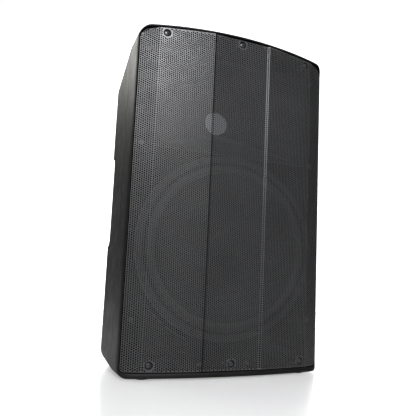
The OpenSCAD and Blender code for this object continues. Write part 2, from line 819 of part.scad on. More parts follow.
module mains_inlet() {
    x = inlet_at[0];
    z = inlet_at[1];
    color([0.06, 0.06, 0.06]) difference() {
        union() {
            block([x - 13.5, panel_y - 24, z - 10], [x + 13.5, panel_y + 1, z + 10]);
            block([x - 24, panel_y, z - 13], [x + 24, panel_y + 2.5, z + 13]);
        }
        block([x - 12, panel_y - 15, z - 7.8], [x + 12, panel_y + 4, z + 7.8]);
        for (s = [-20, 20]) facing_back([x + s, panel_y - 1, z]) cylinder(r = 1.6, h = 6);
    }
    color([0.75, 0.75, 0.75]) for (p = [[-7, -1.5], [0, 2.5], [7, -1.5]])
        block([x + p[0] - 1, panel_y - 15.5, z + p[1] - 2], [x + p[0] + 1, panel_y - 6, z + p[1] + 2]);
}

// ---- Power switch ----

module rocker_frame() {
    x = rocker_at[0];
    z = rocker_at[1];
    color([0.07, 0.07, 0.07]) difference() {
        union() {
            block([x - 7.5, panel_y - 18, z - 13], [x + 7.5, panel_y + 1, z + 13]);
            block([x - 9.5, panel_y, z - 15], [x + 9.5, panel_y + 2, z + 15]);
        }
        block([x - 5.8, panel_y - 10, z - 11.8], [x + 5.8, panel_y + 3, z + 11.8]);
        translate([x - 7, panel_y - 1, z]) rotate([0, 90, 0]) cylinder(r = 1.25, h = 14);
    }
}

module power_rocker() {
    tilt = 8;
    color([0.6, 0.08, 0.06]) translate([rocker_at[0], panel_y - 1, rocker_at[1]])
        rotate([tilt, 0, 0]) {
            rotate([90, 0, 90]) translate([0, 0, -5.5]) linear_extrude(11)
                polygon([[3.6, 10.3], [1.8, 0], [3.6, -10.3], [-3, -8.5], [-3, 8.5]]);
            translate([-6.9, 0, 0]) rotate([0, 90, 0]) cylinder(r = 1.2, h = 13.8);
        }
}

module push_button(p) {
    color([0.3, 0.3, 0.3]) facing_back([p[0], control_y + 12, p[1]]) cylinder(r = 3.2, h = 12);
}

module mic_line_button_1() { push_button(button_points[0]); }
module mic_line_button_2() { push_button(button_points[1]); }
module mode_button() { push_button(button_points[2]); }

module led_lenses() {
    color([0.1, 0.7, 0.2]) for (p = led_points) facing_back([p[0], panel_y - 5, p[1]]) {
        cylinder(r = 1.5, h = 5);
        translate([0, 0, 5]) sphere(r = 1.5);
    }
}

// ---- Wiring ----

// Points on a smooth curve through p, with k steps to each span
function smooth(p, k) = concat([for (i = [0:len(p) - 2], j = [0:k - 1])
    let (a = p[max(i - 1, 0)], b = p[i], c = p[i + 1], d = p[min(i + 2, len(p) - 1)], t = j / k)
    0.5 * (2 * b + (c - a) * t + (2 * a - 5 * b + 4 * c - d) * t * t
        + (3 * b - a - 3 * c + d) * t * t * t)], [p[len(p) - 1]]);

function unit(v) = v / norm(v);

// A round lead along the points p
module lead(p, r) {
    sides = 8;
    last = len(p) - 1;
    rings = [for (i = [0:last])
        let (t = unit(p[min(i + 1, last)] - p[max(i - 1, 0)]), u = unit(cross(t, [1, 0.2, 0.1])),
            v = cross(t, u))
        for (k = [0:sides - 1]) let (a = 360 * k / sides) p[i] + r * (cos(a) * u + sin(a) * v)];
    walls = [for (i = [0:last - 1], k = [0:sides - 1]) let (n = (k + 1) % sides)
        [i * sides + k, i * sides + n, (i + 1) * sides + n, (i + 1) * sides + k]];
    polyhedron(rings, concat([[for (k = [sides - 1:-1:0]) k]], walls,
        [[for (k = [0:sides - 1]) last * sides + k]]));
}

// Leads from the amplifier board to the woofer and to the treble driver
woofer_route = [[16, -48.4, 342], [20, -48.4, 352], [26, -35, 362], [34, 5, 375], [44, 45, 358],
    [50, 70, 322], [50, 95, 311], [50, 108, 310],
    [50, 119, 310]];
cover_back = driver_y + 46;
driver_route = [[0, cover_back, horn_z], [0, cover_back + 9, horn_z], [0, cover_back + 22, horn_z - 7],
    [-4, 66, 520], [-20, 86, 460], [-34, 100, 420], [-40, 108, 396], [-40, 119, 396]];

module wiring() {
    color([0.6, 0.1, 0.1]) {
        lead(smooth(woofer_route, 5), 2.5);
        lead(smooth(driver_route, 5), 2.5);
    }
}

front_frame();
rear_shell();
shell_screws();
grille();
grille_screws();
woofer_basket();
basket_gasket();
surround();
cone();
dust_cap();
voice_coil();
spider();
top_plate();
magnet();
back_plate();
woofer_screws();
woofer_nuts();
horn();
horn_screws();
driver_plate();
driver_magnet();
driver_dome();
driver_cover();
throat_screen();
port_left();
port_right();
handle_cup_left();
handle_cup_right();
grip_left();
grip_right();
grip_screws();
feet();
pole_socket();
pole_screws();
rigging_inserts();
amp_panel();
panel_screws();
heat_sink();
amp_board();
capacitors();
control_board();
pots();
level_1_knob();
level_2_knob();
treble_knob();
bass_knob();
level_1_shaft();
level_2_shaft();
treble_shaft();
bass_shaft();
input_sockets();
link_socket();
mains_inlet();
rocker_frame();
power_rocker();
mic_line_button_1();
mic_line_button_2();
mode_button();
led_lenses();
wiring();
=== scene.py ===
"""Looks of the moulded loudspeaker cabinet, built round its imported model."""

import json
import math

import bmesh
import bpy
from mathutils import Matrix, Vector

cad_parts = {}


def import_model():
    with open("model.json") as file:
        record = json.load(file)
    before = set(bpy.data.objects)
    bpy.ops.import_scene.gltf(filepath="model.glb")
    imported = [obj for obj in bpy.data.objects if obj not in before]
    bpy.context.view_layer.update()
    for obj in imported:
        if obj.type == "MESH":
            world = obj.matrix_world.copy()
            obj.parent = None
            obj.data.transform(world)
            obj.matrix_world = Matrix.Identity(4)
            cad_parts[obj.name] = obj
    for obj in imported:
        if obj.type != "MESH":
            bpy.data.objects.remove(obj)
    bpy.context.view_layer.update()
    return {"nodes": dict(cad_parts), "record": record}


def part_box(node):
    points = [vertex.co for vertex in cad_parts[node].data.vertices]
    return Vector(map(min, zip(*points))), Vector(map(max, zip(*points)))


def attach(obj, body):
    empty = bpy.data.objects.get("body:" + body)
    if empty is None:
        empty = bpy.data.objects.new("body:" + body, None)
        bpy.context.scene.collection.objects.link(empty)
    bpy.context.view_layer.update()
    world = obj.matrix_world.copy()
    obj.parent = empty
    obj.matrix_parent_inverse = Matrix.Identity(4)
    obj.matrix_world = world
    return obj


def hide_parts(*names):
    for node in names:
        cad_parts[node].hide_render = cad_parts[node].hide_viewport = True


bl_info = {
    "name": "Moulded Loudspeaker Cabinet",
    "version": (1, 0, 0),
    "blender": (4, 5, 0),
    "location": "View3D > Sidebar > Cabinet",
    "description": "Builds the looks of a moulded two-way loudspeaker cabinet on its packed model",
    "category": "Object",
}

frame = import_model()
SLOTS = {s["node"]: s["material_slot"] for s in frame["record"]["subparts"]}
MM = 0.001

# The cabinet's outer size, its wall and the depths of its main planes, in millimetres
HALF_WIDTH, HEIGHT, WALL = 212.5, 700.0, 5.0
FRONT_Y, BAFFLE_Y, BAFFLE_BACK = -187.5, -137.5, -131.5
SEAM_Y, BEND_Y, REAR_Y = -72.5, 72.5, 187.5
PANEL_Y = 166.0
TOP_BOW = 2400.0
TOP_SLOPE = math.tan(math.radians(12.0))

# Sections across the depth: half width, low and high edge, top and bottom corner radius
FRONT_SECTION = (HALF_WIDTH, 3.0, HEIGHT, 24.0, 16.0)
LIP_SECTION = (209.0, 13.0, 696.5, 20.0, 7.0)
BEND_SECTION = (HALF_WIDTH, 3.0, HEIGHT - (BEND_Y - SEAM_Y) * TOP_SLOPE, 44.0, 34.0)
REAR_SECTION = (122.0, 22.0, BEND_SECTION[2] - (REAR_Y - BEND_Y) * TOP_SLOPE, 24.0, 24.0)

# Openings of the baffle: the woofer's, and the arc about its axis that bounds the ports
WOOFER_Z, WOOFER_R, PORT_ARC_R = 258.0, 176.0, 203.0

# Plan of the folded grille: distance from the middle and depth, in millimetres
FACET = (57.6, -181.5)
WING = (62.3, -184.8)
FOLD = (171.8, -166.7)
EDGE = (207.0, -147.1)
GRILLE_LOW, GRILLE_HIGH = 14.5, 695.0

# Dishes for the grille's screws: places in X and Z, pressed depth, opening in the sheet
DISH_X, LOW_DISH_Z, MIDDLE_DISH_Z, SIDE_DISH_Z = 158.5, 27.0, 685.5, 679.5
DISH_DEPTH, DISH_OPENING = 3.2, 7.9
NO_DISH = 900.0  # a place beyond every facet
DISHES = [(x, LOW_DISH_Z) for x in (0.0, -DISH_X, DISH_X)]
DISHES += [(0.0, MIDDLE_DISH_Z), (-DISH_X, SIDE_DISH_Z), (DISH_X, SIDE_DISH_Z)]

# Control knobs of the rear panel, and the dashes of the scale round each
KNOBS = [("level_1", 66.0), ("level_2", 22.0), ("treble", -22.0), ("bass", -66.0)]
KNOB_Z = 545.0
SCALE_DASHES = 11

WHITE = (1.0, 1.0, 1.0)


# ---- Mesh helpers ----


def new_object(name, mesh):
    piece = bpy.data.objects.new(name, mesh)
    bpy.context.scene.collection.objects.link(piece)
    return piece


def in_metres(points):
    return [tuple(c * MM for c in p) for p in points]


def mesh_from(name, points, faces, smooth_angle=None):
    """A mesh from points in millimetres, with its faces turned outwards."""
    mesh = bpy.data.meshes.new(name)
    mesh.from_pydata(in_metres(points), [], faces)
    tidy_mesh(mesh, smooth_angle)
    return mesh


def tidy_mesh(mesh, smooth_angle=None):
    bm = bmesh.new()
    bm.from_mesh(mesh)
    bmesh.ops.remove_doubles(bm, verts=bm.verts, dist=1e-6)
    bmesh.ops.recalc_face_normals(bm, faces=bm.faces)
    bm.to_mesh(mesh)
    bm.free()
    if smooth_angle is not None:
        mesh.polygons.foreach_set("use_smooth", [True] * len(mesh.polygons))
        mesh.set_sharp_from_angle(angle=math.radians(smooth_angle))
    mesh.update()


def band(a, b, count):
    """Faces between two closed rings of points that start at a and b."""
    return [(a + i, a + (i + 1) % count, b + (i + 1) % count, b + i) for i in range(count)]


def loft(rings):
    """Points and faces of a skin through rings of equal length, capped at both ends."""
    count, last = len(rings[0]), (len(rings) - 1) * len(rings[0])
    points = [p for ring in rings for p in ring]
    faces = [f for k in range(0, last, count) for f in band(k, k + count, count)]
    faces += [tuple(range(count)), tuple(reversed(range(last, last + count)))]
    return points, faces


def turned(profile, sides, place):
    """Points and faces of a closed profile of (radius, depth) turned round an axis along +Y."""
    count = len(profile)
    points, faces = [], []
    for k in range(sides):
        a = 2 * math.pi * k / sides
        points += [place(r * math.cos(a), d, r * math.sin(a)) for r, d in profile]
        faces += band(k * count, (k + 1) % sides * count, count)
    return points, faces


def prism(outline, y0, y1):
    """Points and faces of an outline in X and Z pushed from depth y0 to y1."""
    return loft([[(x, y0, z) for x, z in outline], [(x, y1, z) for x, z in outline]])


def gather(parts):
    """Joins several (points, faces) pairs into one."""
    points, faces = [], []
    for pts, fcs in parts:
        base = len(points)
        points += pts
        faces += [tuple(base + i for i in f) for f in fcs]
    return points, faces


def make_plain(piece):
    """Puts the evaluated mesh in place of the piece's own, and drops its modifiers."""
    bpy.context.view_layer.update()
    plain = bpy.data.meshes.new_from_object(
        piece.evaluated_get(bpy.context.evaluated_depsgraph_get())
    )
    piece.modifiers.clear()
    piece.data = plain


def carve(piece, cutter_parts, operation):
    """Unites or cuts the piece with closed solids, and leaves a plain mesh."""
    cutter = new_object("cutter", mesh_from("cutter", *gather(cutter_parts)))
    change = piece.modifiers.new("carve", "BOOLEAN")
    change.operation, change.object, change.solver = operation, cutter, "EXACT"
    change.use_self = operation == "UNION"
    make_plain(piece)
    bpy.data.objects.remove(cutter)


def arc(cx, cz, r, start, end, steps):
    angles = [math.radians(start + (end - start) * i / steps) for i in range(steps + 1)]
    return [(cx + r * math.cos(a), cz + r * math.sin(a)) for a in angles]


def rounded(x0, x1, z0, z1, r, steps=6):
    return (
        arc(x1 - r, z0 + r, r, -90, 0, steps)
        + arc(x1 - r, z1 - r, r, 0, 90, steps)
        + arc(x0 + r, z1 - r, r, 90, 180, steps)
        + arc(x0 + r, z0 + r, r, 180, 270, steps)
    )


def section(half, low, high, high_r, low_r, inset=0.0):
    """Outline of the cabinet across its depth, with an arched top and round corners."""
    x = half - high_r
    cz = high - TOP_BOW
    z = cz + math.sqrt((TOP_BOW - high_r) ** 2 - x * x)
    a = math.degrees(math.atan2(z - cz, x))
    points = arc(half - low_r, low + low_r, low_r - inset, -90, 0, 8)
    points += arc(x, z, high_r - inset, 0, a, 10)
    top = [math.radians(a + (180 - 2 * a) * i / 28) for i in range(1, 28)]
    points += [((TOP_BOW - inset) * math.cos(t), cz + (TOP_BOW - inset) * math.sin(t)) for t in top]
    points += arc(-x, z, high_r - inset, 180 - a, 180, 10)
    points += arc(low_r - half, low + low_r, low_r - inset, 180, 270, 8)
    run = half - low_r
    points += [(-run + 2 * run * i / 28, low + inset) for i in range(1, 28)]
    return points


# ---- Node helpers ----


class Field:
    """A node socket that adds up to further nodes through plain arithmetic."""

    def __init__(self, tree, socket):
        self.tree, self.socket = tree, socket

    def calc(self, operation, *others):
        node = self.tree.nodes.new("ShaderNodeMath")
        node.operation = operation
        for slot, value in zip(node.inputs, (self, *others)):
            if isinstance(value, Field):
                self.tree.links.new(value.socket, slot)
            else:
                slot.default_value = value
        return Field(self.tree, node.outputs[0])

    def __add__(self, other):
        return self.calc("ADD", other)

    def __sub__(self, other):
        return self.calc("SUBTRACT", other)

    def __mul__(self, other):
        return self.calc("MULTIPLY", other)

    def __truediv__(self, other):
        return self.calc("DIVIDE", other)

    def over(self, other):
        return self.calc("GREATER_THAN", other)

    def low(self, other):
        return self.calc("MINIMUM", other)

    def high(self, other):
        return self.calc("MAXIMUM", other)

    def root(self):
        return self.calc("SQRT")

    def whole(self):
        return self.calc("FLOOR")

    def size(self):
        return self.calc("ABSOLUTE")


def add_node(tree, kind, inputs=None, **settings):
    """A node with its settings and its inputs, which are numbers, sockets or fields."""
    node = tree.nodes.new(kind)
    for key, value in settings.items():
        setattr(node, key, value)
    for key, value in (inputs or {}).items():
        slot = node.inputs[key]
        if isinstance(value, Field):
            tree.links.new(value.socket, slot)
        elif isinstance(value, bpy.types.NodeSocket):
            tree.links.new(value, slot)
        else:
            slot.default_value = value
    return node


def add_input(tree, name, kind, default=None):
    socket = tree.interface.new_socket(name=name, in_out="INPUT", socket_type=kind)
    if default is not None:
        socket.default_value = default


def run_tree(piece, tree, values):
    """Runs a geometry tree on a piece with named inputs, and leaves a plain mesh."""
    change = piece.modifiers.new("build", "NODES")
    change.node_group = tree
    names = {s.name: s.identifier for s in tree.interface.items_tree if s.in_out == "INPUT"}
    for name, value in values.items():
        change[names[name]] = value
    make_plain(piece)


def start_tree(name, numbers, pieces):
    """A geometry tree with its named inputs, and the sockets that they come in by."""
    tree = bpy.data.node_groups.new(name, "GeometryNodeTree")
    tree.is_modifier = True
    add_input(tree, "Geometry", "NodeSocketGeometry")
    for key, default in numbers.items():
        add_input(tree, key, "NodeSocketFloat", default)
    for key in pieces:
        add_input(tree, key, "NodeSocketObject")
    add_input(tree, "Finish", "NodeSocketMaterial")
    tree.interface.new_socket(name="Geometry", in_out="OUTPUT", socket_type="NodeSocketGeometry")
    return tree, add_node(tree, "NodeGroupInput").outputs


def end_tree(tree, geometry, material):
    """Ends a geometry tree in real geometry with its finish set."""
    real = add_node(tree, "GeometryNodeRealizeInstances", {0: geometry})
    done = add_node(
        tree, "GeometryNodeSetMaterial", {"Geometry": real.outputs[0], "Material": material}
    )
    result = add_node(tree, "NodeGroupOutput")
    tree.links.new(done.outputs[0], result.inputs[0])
    return tree


def vector(tree, x=0.0, y=0.0, z=0.0):
    return add_node(tree, "ShaderNodeCombineXYZ", {"X": x, "Y": y, "Z": z}).outputs[0]


def weld(tree, geometry, distance):
    return add_node(
        tree, "GeometryNodeMergeByDistance", {"Geometry": geometry, "Distance": distance}
    ).outputs[0]


def place_copies(tree, points, source, **inputs):
    """Instances of an object, which comes in by the socket source, on the points."""
    cell = add_node(tree, "GeometryNodeObjectInfo", {"Object": source}).outputs["Geometry"]
    given = {"Points": points, "Instance": cell, **inputs}
    return add_node(tree, "GeometryNodeInstanceOnPoints", given).outputs[0]


# ---- Perforated sheet ----


def hole_cell(name, pitch, hole_r, hole_sides):
    """One six-sided cell of the sheet in the XZ plane, with its hole or without."""

    def polygon(radius, sides):
        turns = [2 * math.pi / sides * i for i in range(sides)]
        return [(radius * math.cos(a), 0.0, radius * math.sin(a)) for a in turns]

    points, faces = polygon(pitch / math.sqrt(3), 6), [tuple(range(6))]
    if hole_sides:
        points += polygon(hole_r, hole_sides)
        faces, i, j = [], 0, 0
        while i < 6 or j < hole_sides:
            if j >= hole_sides or (i < 6 and (i + 0.5) / 6 <= (j + 0.5) / hole_sides):
                faces.append((i % 6, (i + 1) % 6, 6 + j % hole_sides))
                i += 1
            else:
                faces.append((i % 6, 6 + (j + 1) % hole_sides, 6 + j % hole_sides))
                j += 1
    mesh = bpy.data.meshes.new(name)
    mesh.from_pydata(in_metres(points), [], faces)
    return new_object(name, mesh)


def perforated_tree(sizes):
    """Geometry tree of one flat facet of the perforated sheet, from its edges and hole pitch."""
    tree, inputs = start_tree("Perforated facet", sizes, ("Holed Cell", "Plain Cell"))
    given = {name: Field(tree, inputs[name]) for name in sizes}
    pitch, hole_r = given["Pitch"], given["Hole Radius"]
    x0, x1 = given["Left Edge"], given["Right Edge"]
    y0, y1 = given["Left Depth"], given["Right Depth"]
    low, high = given["Low Edge"], given["High Edge"]
    dish_x, opening = given["Dish Place"], given["Dish Opening"]
    dish_low, dish_high = given["Low Dish Height"], given["High Dish Height"]
    reach = pitch * (1 / math.sqrt(3))
    column = pitch * (math.sqrt(3) / 2)
    margin = hole_r + given["Plain Margin"]
    side_slack = 0.01
    corner_r, low_r = 18.0, 6.0
    corner_x = EDGE[0] - corner_r
    corner_sag = math.sqrt((TOP_BOW - corner_r) ** 2 - corner_x**2)
    corner_from = corner_x * TOP_BOW / (TOP_BOW - corner_r)

    def top_at(x):
        far = x.size()
        centre = high - TOP_BOW
        arch = centre + (x * x * -1.0 + TOP_BOW**2).root()
        run = (far - corner_x).high(0.0)
        round_off = centre + corner_sag + (run * run * -1.0 + corner_r**2).high(0.0).root()
        return arch + (round_off - arch) * far.over(corner_from)

    def base_at(x):
        run = (x.size() - (EDGE[0] - low_r)).high(0.0)
        return low + low_r - (run * run * -1.0 + low_r**2).high(0.0).root()

    def dish_height(z):
        return dish_low + (dish_high - dish_low) * z.over(HEIGHT / 2)

    def dish_distance(x, z):
        dx, dz = x - dish_x, z - dish_height(z)
        return (dx * dx + dz * dz).root()

    # A lattice of points, every second column raised by half a pitch
    columns = given["Holed Columns"] + 2.0
    rows = ((high - low) / pitch).whole() + 3.0
    index = Field(tree, add_node(tree, "GeometryNodeInputIndex").outputs[0])
    across = (index / rows).whole()
    up = index - across * rows
    odd = across - (across * 0.5).whole() * 2.0
    middle = (x0 + x1) * 0.5
    px = middle + (across - (columns - 1.0) * 0.5) * column
    pz = low + (up + odd * 0.5 - 0.4) * pitch
    lattice = add_node(
        tree,
        "GeometryNodePoints",
        {"Count": columns * rows, "Position": vector(tree, px * MM, 0.0, pz * MM)},
    ).outputs[0]

    # The points that get a holed cell, and those near an edge that get a plain one
    where = add_node(
        tree, "ShaderNodeSeparateXYZ", {0: add_node(tree, "GeometryNodeInputPosition").outputs[0]}
    )
    cx = middle + (Field(tree, where.outputs["X"]) * (1 / MM) - middle) * given["Column Stretch"]
    cz = Field(tree, where.outputs["Z"]) * (1 / MM)
    held_x = cx.high(x0).low(x1)
    inside_x = (cx - x0).low(x1 - cx) + side_slack
    inside = inside_x.low((cz - base_at(held_x)).low(top_at(held_x) - cz))
    clear = dish_distance(cx, cz) - opening
    holed = inside.over(margin) * clear.over(margin)
    kept = inside.over(reach * -1.0) * clear.over(reach * -0.85)
    plain = kept * (holed * -1.0 + 1.0)
    joined = add_node(tree, "GeometryNodeJoinGeometry")
    for name, chosen in (("Holed Cell", holed), ("Plain Cell", plain)):
        cells = place_copies(tree, lattice, inputs[name], Selection=chosen.over(0.5))
        tree.links.new(cells, joined.inputs[0])
    sheet = add_node(tree, "GeometryNodeRealizeInstances", {0: joined.outputs[0]})
    welded = weld(tree, sheet.outputs[0], 0.00001)

    # Corners outside the facet are drawn in to its edge, and those inside a dish pushed out to it
    edge_z = cz.high(base_at(held_x)).low(top_at(held_x))
    dish_z = dish_height(edge_z)
    push = (opening / dish_distance(held_x, edge_z).high(0.01)).high(1.0)
    new_x = dish_x + (held_x - dish_x) * push
    new_z = dish_z + (edge_z - dish_z) * push
    new_y = y0 + (new_x - x0) * ((y1 - y0) / (x1 - x0))
    moved = add_node(
        tree,
        "GeometryNodeSetPosition",
        {"Geometry": welded, "Position": vector(tree, new_x * MM, new_y * MM, new_z * MM)},
    )
    area = Field(tree, add_node(tree, "GeometryNodeInputMeshFaceArea").outputs[0])
    front = add_node(
        tree,
        "GeometryNodeDeleteGeometry",
        {
            "Geometry": weld(tree, moved.outputs[0], 0.00002),
            "Selection": area.calc("LESS_THAN", 1e-10),
        },
        domain="FACE",
    ).outputs[0]
    back = add_node(
        tree,
        "GeometryNodeExtrudeMesh",
        {
            "Mesh": front,
            "Offset": vector(tree, y=1.0),
            "Offset Scale": given["Sheet Thickness"] * MM,
            "Individual": False,
        },
        mode="FACES",
    )
    turned_back = add_node(tree, "GeometryNodeFlipFaces", {"Mesh": back.outputs[0]})
    solid = add_node(tree, "GeometryNodeJoinGeometry")
    tree.links.new(front, solid.inputs[0])
    tree.links.new(turned_back.outputs[0], solid.inputs[0])
    return end_tree(tree, weld(tree, solid.outputs[0], 0.00001), inputs["Finish"])


def spread_tree(name, set_size=1, set_start=0.0):
    """Geometry tree that sets one object at each vertex, each turned a step on from the last.

    With a set size above 1 the turns begin again, at set_start steps, in every set."""
    tree, inputs = start_tree(name, {"Turn": 0.0}, ("Piece",))
    index = Field(tree, add_node(tree, "GeometryNodeInputIndex").outputs[0])
    if set_size > 1:
        index = index - (index / float(set_size)).whole() * float(set_size) + set_start
    turn = index * Field(tree, inputs["Turn"])
    copies = place_copies(
        tree, inputs["Geometry"], inputs["Piece"], Rotation=vector(tree, y=turn)
    )
    return end_tree(tree, copies, inputs["Finish"])


# ---- Finishes ----


def start_finish(slot, colour, rough, metallic=0.0, specular=0.5):
    """A material with its plain values on the shader's own sockets, under the slot's own name."""
    packed = bpy.data.materials.get(slot)
    if packed:
        packed.name = slot + "_packed"
    made = bpy.data.materials.new(slot)
    made.use_nodes = True
    tree = made.node_tree
    shader = tree.nodes["Principled BSDF"]
    for name, value in (
        ("Base Color", (*colour, 1.0)),
        ("Roughness", rough),
        ("Metallic", metallic),
        ("Specular IOR Level", specular),
    ):
        shader.inputs[name].default_value = value
    made.diffuse_color = (*colour, 1.0)
    return made, tree, shader


def object_place(tree, centre=(0.0, 0.0, 0.0), scale=(1.0, 1.0, 1.0)):
    """Object coordinates, centred and scaled for a pattern."""
    where = add_node(tree, "ShaderNodeTexCoord")
    mapping = add_node(tree, "ShaderNodeMapping", {"Vector": where.outputs["Object"]})
    mapping.inputs["Location"].default_value = tuple(-c * s for c, s in zip(centre, scale))
    mapping.inputs["Scale"].default_value = scale
    return mapping.outputs[0]


def noise(tree, place, size_mm, detail=2.0, rough=0.5):
    return add_node(
        tree,
        "ShaderNodeTexNoise",
        {"Vector": place, "Scale": 1000.0 / size_mm, "Detail": detail, "Roughness": rough},
    ).outputs[0]


def spread_value(tree, value, low, high, from_low=0.3, from_high=0.7):
    """Maps a value's range to another, held to its ends."""
    ends = {"From Min": from_low, "From Max": from_high, "To Min": low, "To Max": high}
    return add_node(tree, "ShaderNodeMapRange", {"Value": value, **ends}).outputs[0]


def blend_colours(tree, amount, first, second):
    """Mixes two plain colours, or a socket and a colour, by an amount."""
    mix = tree.nodes.new("ShaderNodeMix")
    mix.data_type = "RGBA"
    tree.links.new(amount, mix.inputs[0])
    for slot, value in ((mix.inputs[6], first), (mix.inputs[7], second)):
        if isinstance(value, bpy.types.NodeSocket):
            tree.links.new(value, slot)
        else:
            slot.default_value = (*value, 1.0)
    return mix.outputs[2]


def edge_amount(tree, radius_mm):
    """How far the rounded surface leans away from the flat one, which is 0 off an edge."""
    soft = add_node(tree, "ShaderNodeBevel", {"Radius": radius_mm * MM}, samples=4)
    flat = add_node(tree, "ShaderNodeNewGeometry")
    lean = add_node(
        tree,
        "ShaderNodeVectorMath",
        {0: soft.outputs[0], 1: flat.outputs["Normal"]},
        operation="DOT_PRODUCT",
    )
    return soft.outputs[0], spread_value(tree, lean.outputs["Value"], 1.0, 0.0, 0.9, 0.995)


def raise_surface(tree, shader, heights, normal=None):
    """Adds bump layers, each a height socket with its depth in millimetres."""
    for height, depth in heights:
        bump = add_node(
            tree, "ShaderNodeBump", {"Height": height, "Distance": depth * MM, "Strength": 1.0}
        )
        if normal is not None:
            tree.links.new(normal, bump.inputs["Normal"])
        normal = bump.outputs[0]
    if normal is not None:
        tree.links.new(normal, shader.inputs["Normal"])


def shift(colour, factor):
    return tuple(min(1.0, c * factor) for c in colour)


def two_tone(tree, value, colour, dark, light):
    """Varies a colour between a darker and a lighter shade of itself."""
    amount = spread_value(tree, value, 0.0, 1.0)
    return blend_colours(tree, amount, shift(colour, dark), shift(colour, light))


def wave(tree, place, step_mm, **settings):
    """Even waves, a step in millimetres apart."""
    scale = 2 * math.pi / 20 / (step_mm * MM)
    values = {"Vector": place, "Scale": scale, "Distortion": 0.0}
    return add_node(tree, "ShaderNodeTexWave", values, **settings).outputs[1]


def moulded(slot, colour, rough, grain_mm=0.7, depth=0.03, edge_mm=0.8, wear_and_highlight=1.5, specular=0.5):
    """Injection-moulded or painted surface: fine grain, slow tone changes, and edges lightened in
    colour, partly as rubbed wear and partly as a painted highlight.
    """
    made, tree, shader = start_finish(slot, colour, rough, specular=specular)
    place = object_place(tree)
    normal, edge = edge_amount(tree, edge_mm)
    toned = two_tone(tree, noise(tree, place, 90.0, 3.0), colour, 0.88, 1.12)
    # Edges are lightened in the base colour: rubbed wear and a painted highlight
    worn_and_highlit = blend_colours(tree, edge, toned, shift(colour, wear_and_highlight))
    tree.links.new(worn_and_highlit, shader.inputs["Base Color"])
    smears = noise(tree, place, 25.0, 4.0, 0.6)
    dulled = spread_value(tree, smears, rough - 0.05, rough + 0.06)
    tree.links.new(dulled, shader.inputs["Roughness"])
    grain = noise(tree, place, grain_mm, 2.0, 0.6)
    raise_surface(tree, shader, [(grain, depth)], normal)
    return made


def bare_metal(slot, colour, rough, stretch=(1.0, 1.0, 1.0), line_mm=0.3, depth=0.01, edge_mm=0.3):
    """Turned, brushed, cast or plated metal with its working lines."""
    made, tree, shader = start_finish(slot, colour, rough, metallic=1.0)
    lines = noise(tree, object_place(tree, scale=stretch), line_mm, 3.0, 0.6)
    slow = noise(tree, object_place(tree), 12.0, 3.0)
    tree.links.new(two_tone(tree, slow, colour, 0.85, 1.08), shader.inputs["Base Color"])
    dulled = spread_value(tree, lines, rough - 0.06, rough + 0.1)
    tree.links.new(dulled, shader.inputs["Roughness"])
    raise_surface(tree, shader, [(lines, depth)], edge_amount(tree, edge_mm)[0])
    return made


def ringed(slot, colour, rough, centre, ring_mm, depth, fibre_mm=0.5, metallic=0.0, gloss=0.5):
    """Surface with fine rings round an axis along Y, as on a pressed cone, a roll or a winding."""
    made, tree, shader = start_finish(slot, colour, rough, metallic, gloss)
    place = object_place(tree, centre)
    rings = wave(tree, place, ring_mm, wave_type="RINGS", rings_direction="Y")
    fibre = noise(tree, object_place(tree), fibre_mm, 4.0, 0.7)
    tree.links.new(two_tone(tree, fibre, colour, 0.75, 1.3), shader.inputs["Base Color"])
    dulled = spread_value(tree, fibre, rough - 0.06, rough + 0.06)
    tree.links.new(dulled, shader.inputs["Roughness"])
    raise_surface(tree, shader, [(rings, depth), (fibre, 0.03)])
    return made


def woven(slot, colour, rough, thread_mm, depth, metallic=0.0):
    """Cloth or wire mesh woven in the XZ plane."""
    made, tree, shader = start_finish(slot, colour, rough, metallic=metallic)
    place = object_place(tree)
    across, up = (
        Field(tree, wave(tree, place, thread_mm, wave_type="BANDS", bands_direction=axis))
        for axis in ("X", "Z")
    )
    both = (across * up).socket
    threads = blend_colours(tree, both, shift(colour, 0.55), shift(colour, 1.15))
    tree.links.new(threads, shader.inputs["Base Color"])
    raise_surface(tree, shader, [(both, depth)])
    return made


def board_finish(slot, colour):
    """Green solder mask with a faint pattern of tracks under it and bright pads."""
    made, tree, shader = start_finish(slot, colour, 0.35)
    place = object_place(tree)
    tracks = add_node(
        tree,
        "ShaderNodeTexVoronoi",
        {"Vector": place, "Scale": 180.0, "Randomness": 0.35},
        distance="CHEBYCHEV",
        feature="F1",
    ).outputs["Distance"]
    toned = blend_colours(
        tree, spread_value(tree, tracks, 0.0, 1.0, 0.38, 0.42), colour, shift(colour, 1.8)
    )
    pads = add_node(
        tree, "ShaderNodeTexVoronoi", {"Vector": place, "Scale": 130.0, "Randomness": 0.2}
    ).outputs["Distance"]
    tree.links.new(
        blend_colours(
            tree, spread_value(tree, pads, 1.0, 0.0, 0.1, 0.13), toned, (0.55, 0.55, 0.5)
        ),
        shader.inputs["Base Color"],
    )
    raise_surface(tree, shader, [(tracks, 0.05)])
    return made


